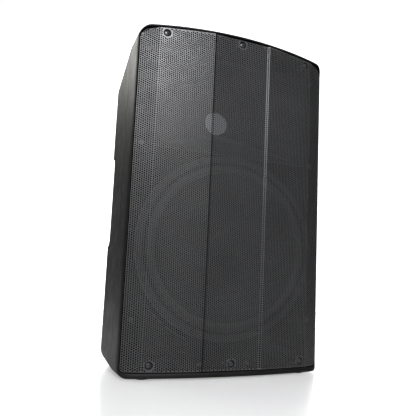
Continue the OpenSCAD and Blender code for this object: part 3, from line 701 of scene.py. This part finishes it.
def make_finishes(look):
    """Makes every finish of the cabinet, each under the name of its slot."""
    plastic, paint = tuple(look.plastic_colour), tuple(look.grille_colour)
    rough = look.plastic_roughness
    woofer = (0.0, BAFFLE_Y * MM, WOOFER_Z * MM)
    # The seventh value of each moulded finish lightens its edges: rubbed wear and a painted
    # highlight
    moulded("shell_plastic", plastic, rough, 1.1, 0.1, 1.2, 1.35, look.plastic_gloss)
    # A darker, duller copy of the moulding's plastic: painted shade behind the grille
    moulded("baffle_paint", shift(plastic, 0.4), 0.8, 0.9, 0.05, 0.6, 1.2, 0.01)
    moulded("grille_paint", paint, look.grille_roughness, 0.5, 0.012, 0.15, 1.5)
    # A darker, duller copy of the grille's paint: painted shade on the left step and in the screw
    # dishes
    moulded("grille_fold", shift(paint, 0.25), 0.6, 0.5, 0.012, 0.15, 1.2, 0.1)
    # A near-black copy of the screw finish: painted shade for the screws behind the grille
    moulded("inner_screw", (0.004, 0.004, 0.004), 0.6, 0.6, 0.01, 0.3, 1.5, 0.1)
    moulded("black_steel", (0.03, 0.03, 0.031), 0.28, 0.6, 0.01, 0.3, 3.0, 0.7)
    moulded("basket_alloy", (0.012, 0.012, 0.0125), 0.5, 1.2, 0.04, 0.8, 2.5, 0.3)
    moulded("gasket_foam", (0.006, 0.006, 0.006), 0.9, 0.4, 0.08, 0.4, 1.0, 0.05)
    ringed("surround_cloth", (0.022, 0.022, 0.022), 0.6, woofer, 5.0, 0.25, gloss=0.3)
    ringed("cone_paper", (0.016, 0.016, 0.0165), 0.7, woofer, 12.0, 0.35, 1.2, gloss=0.04)
    ringed("cap_paper", (0.014, 0.014, 0.0145), 0.65, woofer, 40.0, 0.1, 0.9, gloss=0.06)
    ringed("coil_copper", (0.62, 0.27, 0.1), 0.3, woofer, 0.5, 0.1, metallic=1.0)
    ringed("spider_cloth", (0.42, 0.25, 0.07), 0.85, woofer, 60.0, 0.05, 0.8)
    bare_metal("motor_steel", (0.34, 0.34, 0.36), 0.36, (1.0, 0.1, 1.0), 0.5, 0.02, 0.6)
    moulded("ferrite", (0.035, 0.035, 0.037), 0.62, 0.8, 0.05, 0.8, 1.8)
    moulded("horn_plastic", (0.007, 0.007, 0.007), 0.5, 0.8, 0.03, 1.2, 2.5, 0.12)
    bare_metal("driver_alloy", (0.55, 0.56, 0.58), 0.34, (1.0, 0.2, 1.0), 0.4, 0.015)
    bare_metal("dome_metal", (0.72, 0.72, 0.74), 0.22, (1.0, 1.0, 1.0), 1.5, 0.01)
    woven("screen_mesh", (0.4, 0.405, 0.415), 0.42, 0.9, 0.15, 0.6)
    moulded("port_plastic", (0.004, 0.004, 0.004), 0.7, 0.9, 0.04, 0.6, 1.3, 0.03)
    moulded("grip_rubber", (0.016, 0.016, 0.016), 0.72, 1.4, 0.12, 0.6, 1.3)
    moulded("foot_rubber", (0.012, 0.012, 0.012), 0.8, 0.8, 0.06, 0.5, 1.4)
    moulded("socket_plastic", (0.022, 0.022, 0.022), 0.5, 0.7, 0.04, 0.6, 1.4)
    bare_metal("zinc_steel", (0.56, 0.57, 0.6), 0.3, (1.0, 1.0, 1.0), 0.6, 0.01)
    moulded("panel_paint", (0.02, 0.021, 0.023), 0.5, 0.5, 0.05, 0.4, 1.8)
    moulded("sink_alloy", (0.018, 0.018, 0.019), 0.36, 0.4, 0.015, 0.3, 2.4)
    board_finish("circuit_board", (0.012, 0.085, 0.035))
    moulded("can_sleeve", (0.012, 0.02, 0.06), 0.22, 4.0, 0.02, 0.4, 1.2)
    moulded("knob_plastic", (0.022, 0.022, 0.023), 0.42, 0.5, 0.02, 0.3, 1.6)
    bare_metal("shaft_alloy", (0.6, 0.6, 0.6), 0.3, (1.0, 0.1, 1.0), 0.3, 0.01)
    moulded("connector_plastic", (0.018, 0.018, 0.018), 0.4, 0.5, 0.02, 0.3, 1.5)
    moulded("rocker_plastic", (0.4, 0.012, 0.012), 0.25, 2.0, 0.01, 0.4, 1.3, 0.6)
    moulded("button_plastic", (0.18, 0.18, 0.19), 0.4, 0.5, 0.02, 0.3, 1.3)
    moulded("led_lens", (0.04, 0.4, 0.08), 0.12, 3.0, 0.005, 0.2, 1.5, 0.7)
    moulded("wire_pvc", (0.3, 0.02, 0.02), 0.42, 2.0, 0.03, 0.3, 1.2)


def finish(slot):
    return bpy.data.materials[slot]


def complete(piece, nodes, slot, body="cabinet"):
    """Gives a finished piece its finish and the body that it rides on, and hides the CAD nodes that
    it stands in for.
    """
    if not piece.data.materials:
        piece.data.materials.append(finish(slot))
    if nodes:
        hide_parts(*nodes)
    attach(piece, body)


# ---- Mouldings ----


def plan_y(x):
    """Depth of the front edge's bow at a distance from the middle."""
    bow, corner = 838.0, 36.0
    centre = -FRONT_Y - bow
    corner_x = HALF_WIDTH - corner
    corner_c = centre + math.sqrt((bow - corner) ** 2 - corner_x**2)
    x = min(abs(x), HALF_WIDTH)
    if x <= corner_x * bow / (bow - corner):
        return -(centre + math.sqrt(bow * bow - x * x))
    return -(corner_c + math.sqrt(max(0.0, corner**2 - (x - corner_x) ** 2)))


def round_over(distance, r):
    return r - math.sqrt(max(0.0, r * r - (r - distance) ** 2)) if distance < r else 0.0


def front_rings(sizes):
    """Rings of the front moulding, from its inner wall over the seam and the lip to the baffle."""
    outer, inner = section(*FRONT_SECTION), section(*LIP_SECTION)
    wide = [math.dist(a, b) for a, b in zip(outer, inner)]
    radius = [min(0.42 * w, sizes.lip_radius * (2.6 if w > 6.0 else 1.0)) for w in wide]
    groove = section(*FRONT_SECTION, sizes.seam_groove)
    hollow = section(*FRONT_SECTION, WALL)
    rings = [
        [(x, y, z) for x, z in outline]
        for outline, y in (
            (hollow, BAFFLE_BACK),
            (hollow, SEAM_Y),
            (groove, SEAM_Y),
            (outer, SEAM_Y - sizes.seam_groove),
        )
    ]
    for t in (0.0, 0.03, 0.08, 0.15, 0.25, 0.38, 0.5, 0.62, 0.75, 0.85, 0.92, 0.97, 1.0):
        ring = []
        for a, b, w, r in zip(outer, inner, wide, radius):
            x, z = a[0] + (b[0] - a[0]) * t, a[1] + (b[1] - a[1]) * t
            y = plan_y(x) + round_over(t * w, r) + round_over((1 - t) * w, r)
            ring.append((x, y, z))
        rings.append(ring)
    rings.append([(x, BAFFLE_Y, z) for x, z in inner])
    return rings


def port_mouth(side):
    """Outline of a port's mouth, with an arc round the woofer as its upper edge."""
    x0, x1, low = 72.0, 176.0, 43.0
    points = [(x0, low), (x1, low)]
    for i in range(17):
        x = x1 + (x0 - x1) * i / 16
        points.append((x, WOOFER_Z - math.sqrt(PORT_ARC_R * PORT_ARC_R - x * x)))
    return [(side * x, z) for x, z in points][::side]


def build_front_frame(sizes):
    piece = new_object("front_frame_moulding", mesh_from("front_frame", *loft(front_rings(sizes))))
    cuts = [prism(arc(0, WOOFER_Z, WOOFER_R, 0, 357, 119), -146.0, -125.0)]
    cuts.append(prism(rounded(-169.0, 169.0, 458.5, 655.5, 8.0), -138.5, -125.0))
    cuts += [prism(port_mouth(side), -138.5, -125.0) for side in (1, -1)]
    carve(piece, cuts, "DIFFERENCE")
    bosses, bore, boss_r = [], 2.05, 7.0
    for x, z in DISHES:
        seat = fold_y(x) + 4.7
        end = BAFFLE_Y + 0.5 - seat
        profile = [(bore, 0.0), (6.6, 0.0), (boss_r, 0.4), (boss_r, end), (bore, end)]
        bosses.append(
            turned(profile, 24, lambda a, d, b, x=x, z=z, seat=seat: (x + a, seat + d, z + b))
        )
    join_mesh(piece, mesh_from("bosses", *gather(bosses)))
    tidy_mesh(piece.data, 32.0)
    piece.data.materials.append(finish("shell_plastic"))
    # Faces behind the lip that face inwards or forwards get the darker copy: painted shade seen
    # through the grille
    piece.data.materials.append(finish("baffle_paint"))
    for face in piece.data.polygons:
        x, y, z = face.center / MM
        inward = face.normal.x * x + face.normal.z * (z - HEIGHT / 2) < 0.0
        behind_lip = plan_y(x) + 6.0 < y < BAFFLE_Y + 8.0
        face.material_index = 1 if behind_lip and (inward or face.normal.y < -0.5) else 0
    complete(piece, ["front_frame"], "shell_plastic")


def join_mesh(piece, other):
    """Adds a closed mesh to the piece's own, and drops the other."""
    bm = bmesh.new()
    bm.from_mesh(piece.data)
    bm.from_mesh(other)
    bm.to_mesh(piece.data)
    bm.free()
    bpy.data.meshes.remove(other)


def station(y, soft):
    """Size of the rear moulding's section at a depth, with its bend eased over some millimetres."""

    def between(first, last, y0, y1, at):
        return [p + (q - p) * (at - y0) / (y1 - y0) for p, q in zip(first, last)]

    def before(at):
        return between(FRONT_SECTION, BEND_SECTION, SEAM_Y, BEND_Y, at)

    def after(at):
        return between(BEND_SECTION, REAR_SECTION, BEND_Y, REAR_Y, at)

    if y <= BEND_Y - soft:
        return before(y)
    if y >= BEND_Y + soft:
        return after(y)
    t = (y - BEND_Y + soft) / (2 * soft)
    first, last, mid = before(BEND_Y - soft), after(BEND_Y + soft), before(BEND_Y)
    return [(1 - t) ** 2 * p + 2 * t * (1 - t) * m + t * t * q for p, m, q in zip(first, mid, last)]


def rear_rings(sizes):
    """Rings of the rear moulding, from the inside of its back over the seam to the outside."""
    soft, edge, groove = sizes.bend_softness, sizes.rear_radius, sizes.seam_groove
    depths = [-60.0, -30.0, 0.0, 30.0, 55.0]
    depths += [BEND_Y + soft * k / 5 for k in range(-5, 6)]
    depths += [95.0, 115.0, 135.0, 155.0, 170.0]
    places = [(REAR_Y - WALL, WALL)]
    places += [(y, WALL) for y in reversed(depths)]
    places += [(SEAM_Y, WALL), (SEAM_Y, groove), (SEAM_Y + groove, 0.0)]
    places += [(y, 0.0) for y in depths]
    for k in range(8):
        a = math.pi / 2 * k / 7
        places.append((REAR_Y - edge + edge * math.sin(a), edge * (1 - math.cos(a))))
    return [[(x, y, z) for x, z in section(*station(y, soft), inset)] for y, inset in places]


def cup_mouth(side):
    """Cutter for a handle cup's mouth in a side wall, 0.2 mm clear of the cup all round."""
    outline = rounded(43.3, 150.2, 256.8, 467.2, 24.2, 8)
    return loft([[(side * x, y, z) for y, z in outline] for x in (112.0, 230.0)])


def build_rear_shell(sizes):
    piece = new_object("rear_shell_moulding", mesh_from("rear_shell", *loft(rear_rings(sizes))))
    panel_low, panel_high = 128.0, 572.0
    frame_edge = rounded(-106, 106, panel_low - 4, panel_high + 4, 5.0)
    carve(piece, [prism(frame_edge, 158.0, 185.0)], "UNION")
    insert_x, insert_y = 120.0, -52.0
    crown = HEIGHT - TOP_BOW + math.sqrt(TOP_BOW**2 - insert_x**2)
    top = crown - (insert_y - SEAM_Y) * TOP_SLOPE
    cuts = [
        prism(rounded(-92, 92, panel_low + 10, panel_high - 10, 4.0), 150.0, 195.0),
        prism(rounded(-102, 102, panel_low, panel_high, 3.0), 163.0, 195.0),
        cup_mouth(1),
        cup_mouth(-1),
        prism(arc(0, 616.7, 9.0, 0, 350, 35), 160.5, 195.0),
    ]
    for x, y, z0, z1, r in (
        (-insert_x, insert_y, top - 24.5, top + 30.0, 9.0),
        (insert_x, insert_y, top - 24.5, top + 30.0, 9.0),
        (0.0, -10.0, -5.0, 20.0, 22.1),
    ):
        outline = arc(x, y, r, 0, 350, 35)
        cuts.append(loft([[(a, b, z) for a, b in outline] for z in (z0, z1)]))
    carve(piece, cuts, "DIFFERENCE")
    tidy_mesh(piece.data, 32.0)
    complete(piece, ["rear_shell"], "shell_plastic")


# ---- Grille ----


def fold_y(x):
    """Depth of the grille's front face at a distance from the middle."""
    x = abs(x)
    if x <= FACET[0]:
        return FACET[1]
    for (xa, ya), (xb, yb) in ((FACET, WING), (WING, FOLD), (FOLD, EDGE)):
        if x <= xb:
            return ya + (x - xa) / (xb - xa) * (yb - ya)
    return EDGE[1]


def facet_inputs(sizes, x0, x1, y0, y1, dish_x):
    """Values of the perforated tree's number inputs for one facet."""
    column = sizes.hole_pitch * math.sqrt(3) / 2
    run = x1 - x0 - 2 * (sizes.hole_radius + sizes.plain_margin)
    gaps = max(0, int(run / column + 0.15))
    return {
        "Pitch": sizes.hole_pitch,
        "Holed Columns": gaps + 1.0,
        "Column Stretch": run / (gaps * column) if gaps else 1.0,
        "Hole Radius": sizes.hole_radius,
        "Left Edge": x0,
        "Right Edge": x1,
        "Left Depth": y0,
        "Right Depth": y1,
        "Sheet Thickness": sizes.sheet_thickness,
        "Low Edge": GRILLE_LOW,
        "High Edge": GRILLE_HIGH,
        "Plain Margin": sizes.plain_margin,
        "Dish Place": dish_x,
        "Low Dish Height": LOW_DISH_Z,
        "High Dish Height": MIDDLE_DISH_Z if dish_x == 0.0 else SIDE_DISH_Z,
        "Dish Opening": DISH_OPENING,
    }


def build_grille(sizes):
    holed = hole_cell("holed_cell", sizes.hole_pitch, sizes.hole_radius, 8)
    plain = hole_cell("plain_cell", sizes.hole_pitch, sizes.hole_radius, 0)
    facets = {
        "bevel_left": (-EDGE[0], -FOLD[0], EDGE[1], FOLD[1], NO_DISH),
        "wing_left": (-FOLD[0], -WING[0], FOLD[1], WING[1], -DISH_X),
        "facet_middle": (-FACET[0], FACET[0], FACET[1], FACET[1], 0.0),
        "wing_right": (WING[0], FOLD[0], WING[1], FOLD[1], DISH_X),
        "bevel_right": (FOLD[0], EDGE[0], FOLD[1], EDGE[1], NO_DISH),
        "step_left": (-WING[0], -FACET[0], WING[1], FACET[1], NO_DISH),
        "step_right": (FACET[0], WING[0], FACET[1], WING[1], NO_DISH),
    }
    tree = perforated_tree(facet_inputs(sizes, *facets["facet_middle"]))
    for name, edges in facets.items():
        piece = new_object("grille_" + name, bpy.data.meshes.new("seed"))
        values = facet_inputs(sizes, *edges)
        values["Holed Cell"], values["Plain Cell"] = holed, plain
        # The left step, which faces away from the lamps, gets the darker copy of the grille's
        # paint: painted shade
        values["Finish"] = finish("grille_fold" if name == "step_left" else "grille_paint")
        run_tree(piece, tree, values)
        complete(piece, ["grille"], "grille_paint")
    bpy.data.objects.remove(holed)
    bpy.data.objects.remove(plain)
    build_dishes()


def build_dishes():
    """The pressed dishes that the grille's screws sit in."""
    profile = [(8.0, 0.02), (7.5, 0.12), (7.1, 0.5), (6.6, 1.4), (6.1, 2.5), (5.5, 3.05)]
    profile += [(4.8, DISH_DEPTH), (2.4, DISH_DEPTH), (2.4, 4.3), (5.2, 4.3), (6.4, 3.9)]
    profile += [(7.1, 2.9), (7.6, 1.9), (8.0, 1.5)]
    parts = []
    for x, z in DISHES:
        slope = (fold_y(x + 1) - fold_y(x - 1)) / 2

        def place(a, d, b, x=x, z=z, slope=slope):
            hold = max(0.0, 1.0 - d / DISH_DEPTH) if d < DISH_DEPTH else 0.0
            return (x + a, fold_y(x) + d + slope * a * hold, z + b)

        parts.append(turned(profile, 40, place))
    piece = new_object("grille_dishes", mesh_from("grille_dishes", *gather(parts), 50.0))
    # The dishes get the darker copy of the grille's paint: painted shade in their hollows
    piece.data.materials.append(finish("grille_fold"))
    complete(piece, ["grille"], "grille_paint")


def seed_points(name, points):
    """An object of loose points in millimetres, for a tree to set copies on."""
    seed = new_object(name, bpy.data.meshes.new("places"))
    seed.data.from_pydata(in_metres(points), [], [])
    return seed


def build_grille_screws():
    """One pan screw with a cross recess, set in every dish."""
    dome = []
    for k in range(9):
        a = math.radians(90 - 90 * k / 8)
        dome.append((5.0 * math.cos(a) if k else 0.01, -1.3 - 1.3 * math.sin(a)))
    dome += [(5.0, -0.3), (4.7, 0.0), (2.0, 0.0), (2.0, 17.5), (1.6, 18.0), (0.01, 18.0)]
    mesh = mesh_from("screw", *turned(dome, 32, lambda a, d, b: (a, d, b)))
    screw = new_object("screw_pattern", mesh)
    for wide, tall in ((2.3, 0.55), (0.55, 2.3)):
        bar = prism(rounded(-wide, wide, -tall, tall, 0.3, 2), -4.0, -1.5)
        carve(screw, [bar], "DIFFERENCE")
    tidy_mesh(screw.data, 35.0)
    piece = seed_points("grille_screw_set", [(x, fold_y(x) + DISH_DEPTH, z) for x, z in DISHES])
    values = {"Piece": screw, "Turn": 0.7, "Finish": finish("black_steel")}
    run_tree(piece, spread_tree("Screws in dishes"), values)
    bpy.data.objects.remove(screw)
    complete(piece, ["grille_screws"], "black_steel")


# ---- Rear panel ----


def knob_size(name):
    """Near and far depth and radius of a knob, from its CAD node."""
    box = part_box(name + "_knob")
    return box[0].y / MM, box[1].y / MM, (box[1].x - box[0].x) / MM / 2


def knob_skin(name, x):
    """Points and faces of a fluted control knob round an axis along Y."""
    y0, y1, r = knob_size(name)
    sides, flutes, flute_depth = 96, 24, 0.35
    rings = []
    for depth, radius in (
        (y0 + 0.02, r),
        (y0 + 2.2, r),
        (y0 + 2.8, r - 1.0),
        (y1 - 1.6, r - 1.7),
        (y1 - 0.5, r - 2.1),
        (y1 - 0.02, r - 3.0),
    ):
        fluted = flute_depth if y0 + 2.5 < depth < y1 - 1 else 0.0
        ring = []
        for k in range(sides):
            a = 2 * math.pi * k / sides
            here = radius - fluted * (0.5 + 0.5 * math.cos(flutes * a))
            ring.append((x + here * math.cos(a), depth, KNOB_Z + here * math.sin(a)))
        rings.append(ring)
    return loft(rings)


def build_knobs():
    """The four knobs, each with a pale pointer let into its face."""
    pale = moulded("pointer_paint", (0.7, 0.7, 0.68), 0.5, 0.5, 0.01, 0.2, 1.1)
    for name, x in KNOBS:
        piece = new_object(name + "_knob_turned", mesh_from(name, *knob_skin(name, x), 35.0))
        _, top, r = knob_size(name)
        pointer = rounded(x - 0.5, x + 0.5, KNOB_Z + 1.5, KNOB_Z + r - 3.2, 0.3, 2)
        count = len(piece.data.polygons)
        join_mesh(piece, mesh_from(name + "_mark", *prism(pointer, top - 0.6, top)))
        piece.data.materials.append(finish("knob_plastic"))
        piece.data.materials.append(pale)
        for k, face in enumerate(piece.data.polygons):
            face.material_index = 1 if k >= count else 0
        complete(piece, [name + "_knob"], "knob_plastic", name + "_control")


def build_panel_marks():
    """Printed scale dashes round the knobs, laid on the panel."""
    outline = rounded(-0.35, 0.35, 11.6, 13.6, 0.3, 2)
    dash = new_object("dash_pattern", mesh_from("dash", *prism(outline, 0.0, 0.08)))
    piece = seed_points(
        "panel_scale_marks",
        [(x, PANEL_Y, KNOB_Z) for _, x in KNOBS for _ in range(SCALE_DASHES)],
    )
    tree = spread_tree("Scale dashes", SCALE_DASHES, -(SCALE_DASHES // 2))
    values = {"Piece": dash, "Turn": math.radians(30.0), "Finish": finish("pointer_paint")}
    run_tree(piece, tree, values)
    bpy.data.objects.remove(dash)
    complete(piece, [], "knob_plastic")


# ---- Stage and camera ----


def glowing_sheet(name, corners, slot, grey, rough, glow):
    """A flat surface of the studio, with an even light of its own."""
    sheet = new_object(name, bpy.data.meshes.new(name))
    sheet.data.from_pydata(corners, [], [(0, 1, 2, 3)])
    made, _, shader = start_finish(slot, (grey, grey, grey), rough)
    shader.inputs["Emission Color"].default_value = (*WHITE, 1.0)
    shader.inputs["Emission Strength"].default_value = glow
    sheet.data.materials.append(made)
    return sheet


def build_stage(light):
    floor = glowing_sheet(
        "studio_floor",
        [(-6, -6, 0), (6, -6, 0), (6, 6, 0), (-6, 6, 0)],
        "floor_paint",
        0.3,
        light.floor_roughness,
        light.floor_glow,
    )
    wall = glowing_sheet(
        "studio_backdrop",
        [(-0.66, 3.2, 0), (6, 3.2, 0), (6, 3.2, 5), (-0.66, 3.2, 5)],
        "backdrop_light",
        0.9,
        1.0,
        light.backdrop_glow,
    )
    # The glow of the floor and backdrop is flagged off the cabinet, as black cards would do.
    for glowing, receiver in ((wall, floor), (floor, wall)):
        lit_by_it = bpy.data.collections.new(glowing.name + "_receivers")
        lit_by_it.objects.link(receiver)
        glowing.light_linking.receiver_collection = lit_by_it
    for name, place, aim, size, colour in (
        ("key", (-0.6, -1.9, 1.48), (-0.1, -0.19, 0.6), (0.6, 0.6), (0.965, 0.975, 1.0)),
        ("side", (-1.35, -1.3, 1.3), (-0.2, -0.15, 0.5), (0.5, 0.7), (0.96, 0.98, 1.0)),
        ("rim", (-0.85, 1.1, 1.35), (-0.2, 0.05, 0.62), (0.4, 0.5), (1.0, 0.99, 0.94)),
        ("rear", (1.3, 2.3, 1.5), (0.1, 0.2, 0.35), (1.2, 1.0), WHITE),
        ("front", (0.3, -2.6, 1.3), (0, -0.1, 0.35), (1.4, 1.2), WHITE),
        ("top", (0.0, 0.6, 2.6), (0, 0.6, 0.0), (2.6, 2.6), WHITE),
    ):
        lamp = bpy.data.lights.new(name + "_softbox", "AREA")
        lamp.shape, lamp.size, lamp.size_y = "RECTANGLE", *size
        lamp.energy, lamp.color = getattr(light, name + "_power"), colour
        holder = bpy.data.objects.new(name + "_softbox", lamp)
        bpy.context.scene.collection.objects.link(holder)
        holder.location = place
        holder.rotation_mode = "QUATERNION"
        holder.rotation_quaternion = (Vector(aim) - Vector(place)).to_track_quat("-Z", "Y")
    # The world is white where the camera sees it, and gives the cabinet a faint even light.
    world = bpy.data.worlds.new("studio_world")
    world.use_nodes = True
    tree = world.node_tree
    back = tree.nodes["Background"]
    back.inputs["Color"].default_value = (*WHITE, 1.0)
    seen = add_node(tree, "ShaderNodeLightPath").outputs["Is Camera Ray"]
    strength = spread_value(tree, seen, light.world_glow, 1.0, 0.0, 1.0)
    tree.links.new(strength, back.inputs["Strength"])
    bpy.context.scene.world = world
    bpy.context.scene.view_settings.view_transform = "Standard"


def build_camera():
    """The view from low in front and to the cabinet's left, tilted up."""
    azimuth, up, roll = map(math.radians, (25.217, 7.354, 1.651))
    flat = math.cos(up)
    ahead = Vector((math.sin(azimuth) * flat, math.cos(azimuth) * flat, math.sin(up)))
    right = ahead.cross(Vector((0, 0, 1))).normalized()
    down = ahead.cross(right)
    image_right = math.cos(roll) * right - math.sin(roll) * down
    image_down = math.sin(roll) * right + math.cos(roll) * down
    data = bpy.data.cameras.new("camera")
    data.sensor_width, data.lens = 36.0, 45.5
    data.shift_x, data.shift_y = -0.149, 0.041
    data.clip_start, data.clip_end = 0.05, 60.0
    camera = bpy.data.objects.new("camera", data)
    bpy.context.scene.collection.objects.link(camera)
    turn = Matrix((image_right, -image_down, -ahead)).transposed()
    camera.matrix_world = Matrix.Translation((-0.388, -1.165, 0.167)) @ turn.to_4x4()
    bpy.context.scene.camera = camera


# ---- Add-on ----


def number_prop(name, description, default, low, high, subtype="NONE"):
    return bpy.props.FloatProperty(
        name=name, description=description, default=default, min=low, max=high, subtype=subtype
    )


def length_prop(name, description, default, low, high):
    return number_prop(name, description + ", in mm", default, low, high)


def power_prop(name, description, default):
    return number_prop(name, description + ", in watts", default, 0.0, 500.0, "POWER")


def share_prop(name, description, default, low=0.0, high=1.0):
    return number_prop(name, description, default, low, high, "FACTOR")


def colour_prop(name, description, default):
    limits = {"size": 3, "min": 0.0, "max": 1.0}
    return bpy.props.FloatVectorProperty(
        name=name, description=description, default=default, subtype="COLOR", **limits
    )


class CabinetSizes(bpy.types.PropertyGroup):
    """Sizes of the visible model, in millimetres."""

    lip_radius: length_prop("Lip Radius", "Rounding of the lip round the grille", 1.4, 0.3, 1.6)
    seam_groove: length_prop(
        "Seam Groove", "Chamfer of each moulding where the two meet", 0.8, 0.2, 1.5
    )
    bend_softness: length_prop(
        "Bend Softness", "Half length of the eased bend in the rear moulding", 5.0, 1.0, 9.0
    )
    rear_radius: length_prop("Rear Edge Radius", "Rounding of the rear face's edge", 4.5, 1.0, 4.9)
    hole_pitch: length_prop(
        "Hole Pitch", "Distance between neighbouring holes of the grille", 4.5, 3.5, 8.0
    )
    hole_radius: length_prop("Hole Radius", "Radius of a hole of the grille", 1.8, 0.8, 3.0)
    plain_margin: length_prop(
        "Plain Margin", "Least plain metal between a hole and a fold or edge", 0.5, 0.2, 3.0
    )
    sheet_thickness: length_prop(
        "Sheet Thickness", "Thickness of the grille's sheet from front to back", 1.0, 0.8, 1.5
    )


class CabinetLook(bpy.types.PropertyGroup):
    """Colours and gloss of the main finishes."""

    plastic_colour: colour_prop(
        "Plastic Colour", "Colour of the two mouldings", (0.0085, 0.0083, 0.0076)
    )
    plastic_roughness: share_prop(
        "Plastic Roughness", "Roughness of the two mouldings", 0.46, 0.1, 0.9
    )
    plastic_gloss: share_prop("Plastic Gloss", "Specular level of the two mouldings", 0.18)
    grille_colour: colour_prop(
        "Grille Colour", "Colour of the grille's powder coat", (0.055, 0.055, 0.056)
    )
    grille_roughness: share_prop(
        "Grille Roughness", "Roughness of the grille's powder coat", 0.34, 0.1, 0.9
    )


class StudioLight(bpy.types.PropertyGroup):
    """Light of the plain studio."""

    key_power: power_prop("Key Power", "Softbox high on the left", 47.0)
    side_power: power_prop("Side Power", "Softbox beside the left front corner", 18.0)
    rear_power: power_prop("Rear Power", "Softbox behind on the right", 70.0)
    rim_power: power_prop("Rim Power", "Softbox high behind on the left", 7.5)
    front_power: power_prop("Front Power", "Softbox in front", 1.5)
    top_power: power_prop("Top Power", "Softbox overhead", 34.0)
    world_glow: number_prop(
        "World Glow", "Strength of the even light from all round", 0.02, 0.0, 2.0
    )
    backdrop_glow: number_prop("Backdrop Glow", "Strength of the lit backdrop", 1.15, 0.0, 4.0)
    floor_glow: number_prop("Floor Glow", "Strength of the floor's own light", 0.38, 0.0, 2.0)
    floor_roughness: share_prop("Floor Roughness", "Roughness of the floor", 0.22)


class CABINET_OT_finishes(bpy.types.Operator):
    """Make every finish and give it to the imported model's parts"""

    bl_idname = "cabinet.finishes"
    bl_label = "Finishes"

    def execute(self, context):
        make_finishes(context.scene.cabinet_look)
        for name, part in frame["nodes"].items():
            # Screws behind the grille get the near-black copy of the screw finish: painted shade
            inner = name in ("woofer_screws", "horn_screws")
            part.data.materials.clear()
            part.data.materials.append(finish("inner_screw" if inner else SLOTS[name]))
        return {"FINISHED"}


class CABINET_OT_front_frame(bpy.types.Operator):
    """Build the front moulding with its lip and baffle"""

    bl_idname = "cabinet.front_frame"
    bl_label = "Front Moulding"

    def execute(self, context):
        build_front_frame(context.scene.cabinet_sizes)
        return {"FINISHED"}


class CABINET_OT_rear_shell(bpy.types.Operator):
    """Build the rear moulding with its handle and panel openings"""

    bl_idname = "cabinet.rear_shell"
    bl_label = "Rear Moulding"

    def execute(self, context):
        build_rear_shell(context.scene.cabinet_sizes)
        return {"FINISHED"}


class CABINET_OT_grille(bpy.types.Operator):
    """Build the folded and perforated grille with its steps and dishes"""

    bl_idname = "cabinet.grille"
    bl_label = "Grille"

    def execute(self, context):
        build_grille(context.scene.cabinet_sizes)
        return {"FINISHED"}


class CABINET_OT_screws(bpy.types.Operator):
    """Set a screw in each dish of the grille"""

    bl_idname = "cabinet.screws"
    bl_label = "Grille Screws"

    def execute(self, context):
        build_grille_screws()
        return {"FINISHED"}


class CABINET_OT_controls(bpy.types.Operator):
    """Build the fluted knobs and the printed scales round them"""

    bl_idname = "cabinet.controls"
    bl_label = "Controls"

    def execute(self, context):
        build_knobs()
        build_panel_marks()
        return {"FINISHED"}


class CABINET_OT_stage(bpy.types.Operator):
    """Build the floor, the backdrop, the lights and the camera"""

    bl_idname = "cabinet.stage"
    bl_label = "Studio"

    def execute(self, context):
        build_stage(context.scene.cabinet_light)
        build_camera()
        return {"FINISHED"}


STEPS = (
    CABINET_OT_finishes,
    CABINET_OT_front_frame,
    CABINET_OT_rear_shell,
    CABINET_OT_grille,
    CABINET_OT_screws,
    CABINET_OT_controls,
    CABINET_OT_stage,
)


class CABINET_PT_panel(bpy.types.Panel):
    """Sizes, finishes and build steps of the cabinet"""

    bl_idname = "CABINET_PT_panel"
    bl_label = "Loudspeaker Cabinet"
    bl_space_type = "VIEW_3D"
    bl_region_type = "UI"
    bl_category = "Cabinet"

    def draw(self, context):
        for group in ("cabinet_sizes", "cabinet_look", "cabinet_light"):
            settings = getattr(context.scene, group)
            column = self.layout.column(align=True)
            for key in settings.bl_rna.properties.keys():
                if key not in ("rna_type", "name"):
                    column.prop(settings, key)
        for step in STEPS:
            self.layout.operator(step.bl_idname)


CLASSES = (CabinetSizes, CabinetLook, StudioLight, *STEPS, CABINET_PT_panel)


def register():
    for kind in CLASSES:
        bpy.utils.register_class(kind)
    bpy.types.Scene.cabinet_sizes = bpy.props.PointerProperty(type=CabinetSizes)
    bpy.types.Scene.cabinet_look = bpy.props.PointerProperty(type=CabinetLook)
    bpy.types.Scene.cabinet_light = bpy.props.PointerProperty(type=StudioLight)


def unregister():
    for name in ("cabinet_sizes", "cabinet_look", "cabinet_light"):
        delattr(bpy.types.Scene, name)
    for kind in reversed(CLASSES):
        bpy.utils.unregister_class(kind)


def main():
    register()
    for step in STEPS:
        module, name = step.bl_idname.split(".")
        if getattr(getattr(bpy.ops, module), name)() != {"FINISHED"}:
            raise RuntimeError(step.bl_label + " did not finish")


if __name__ == "__main__":
    main()
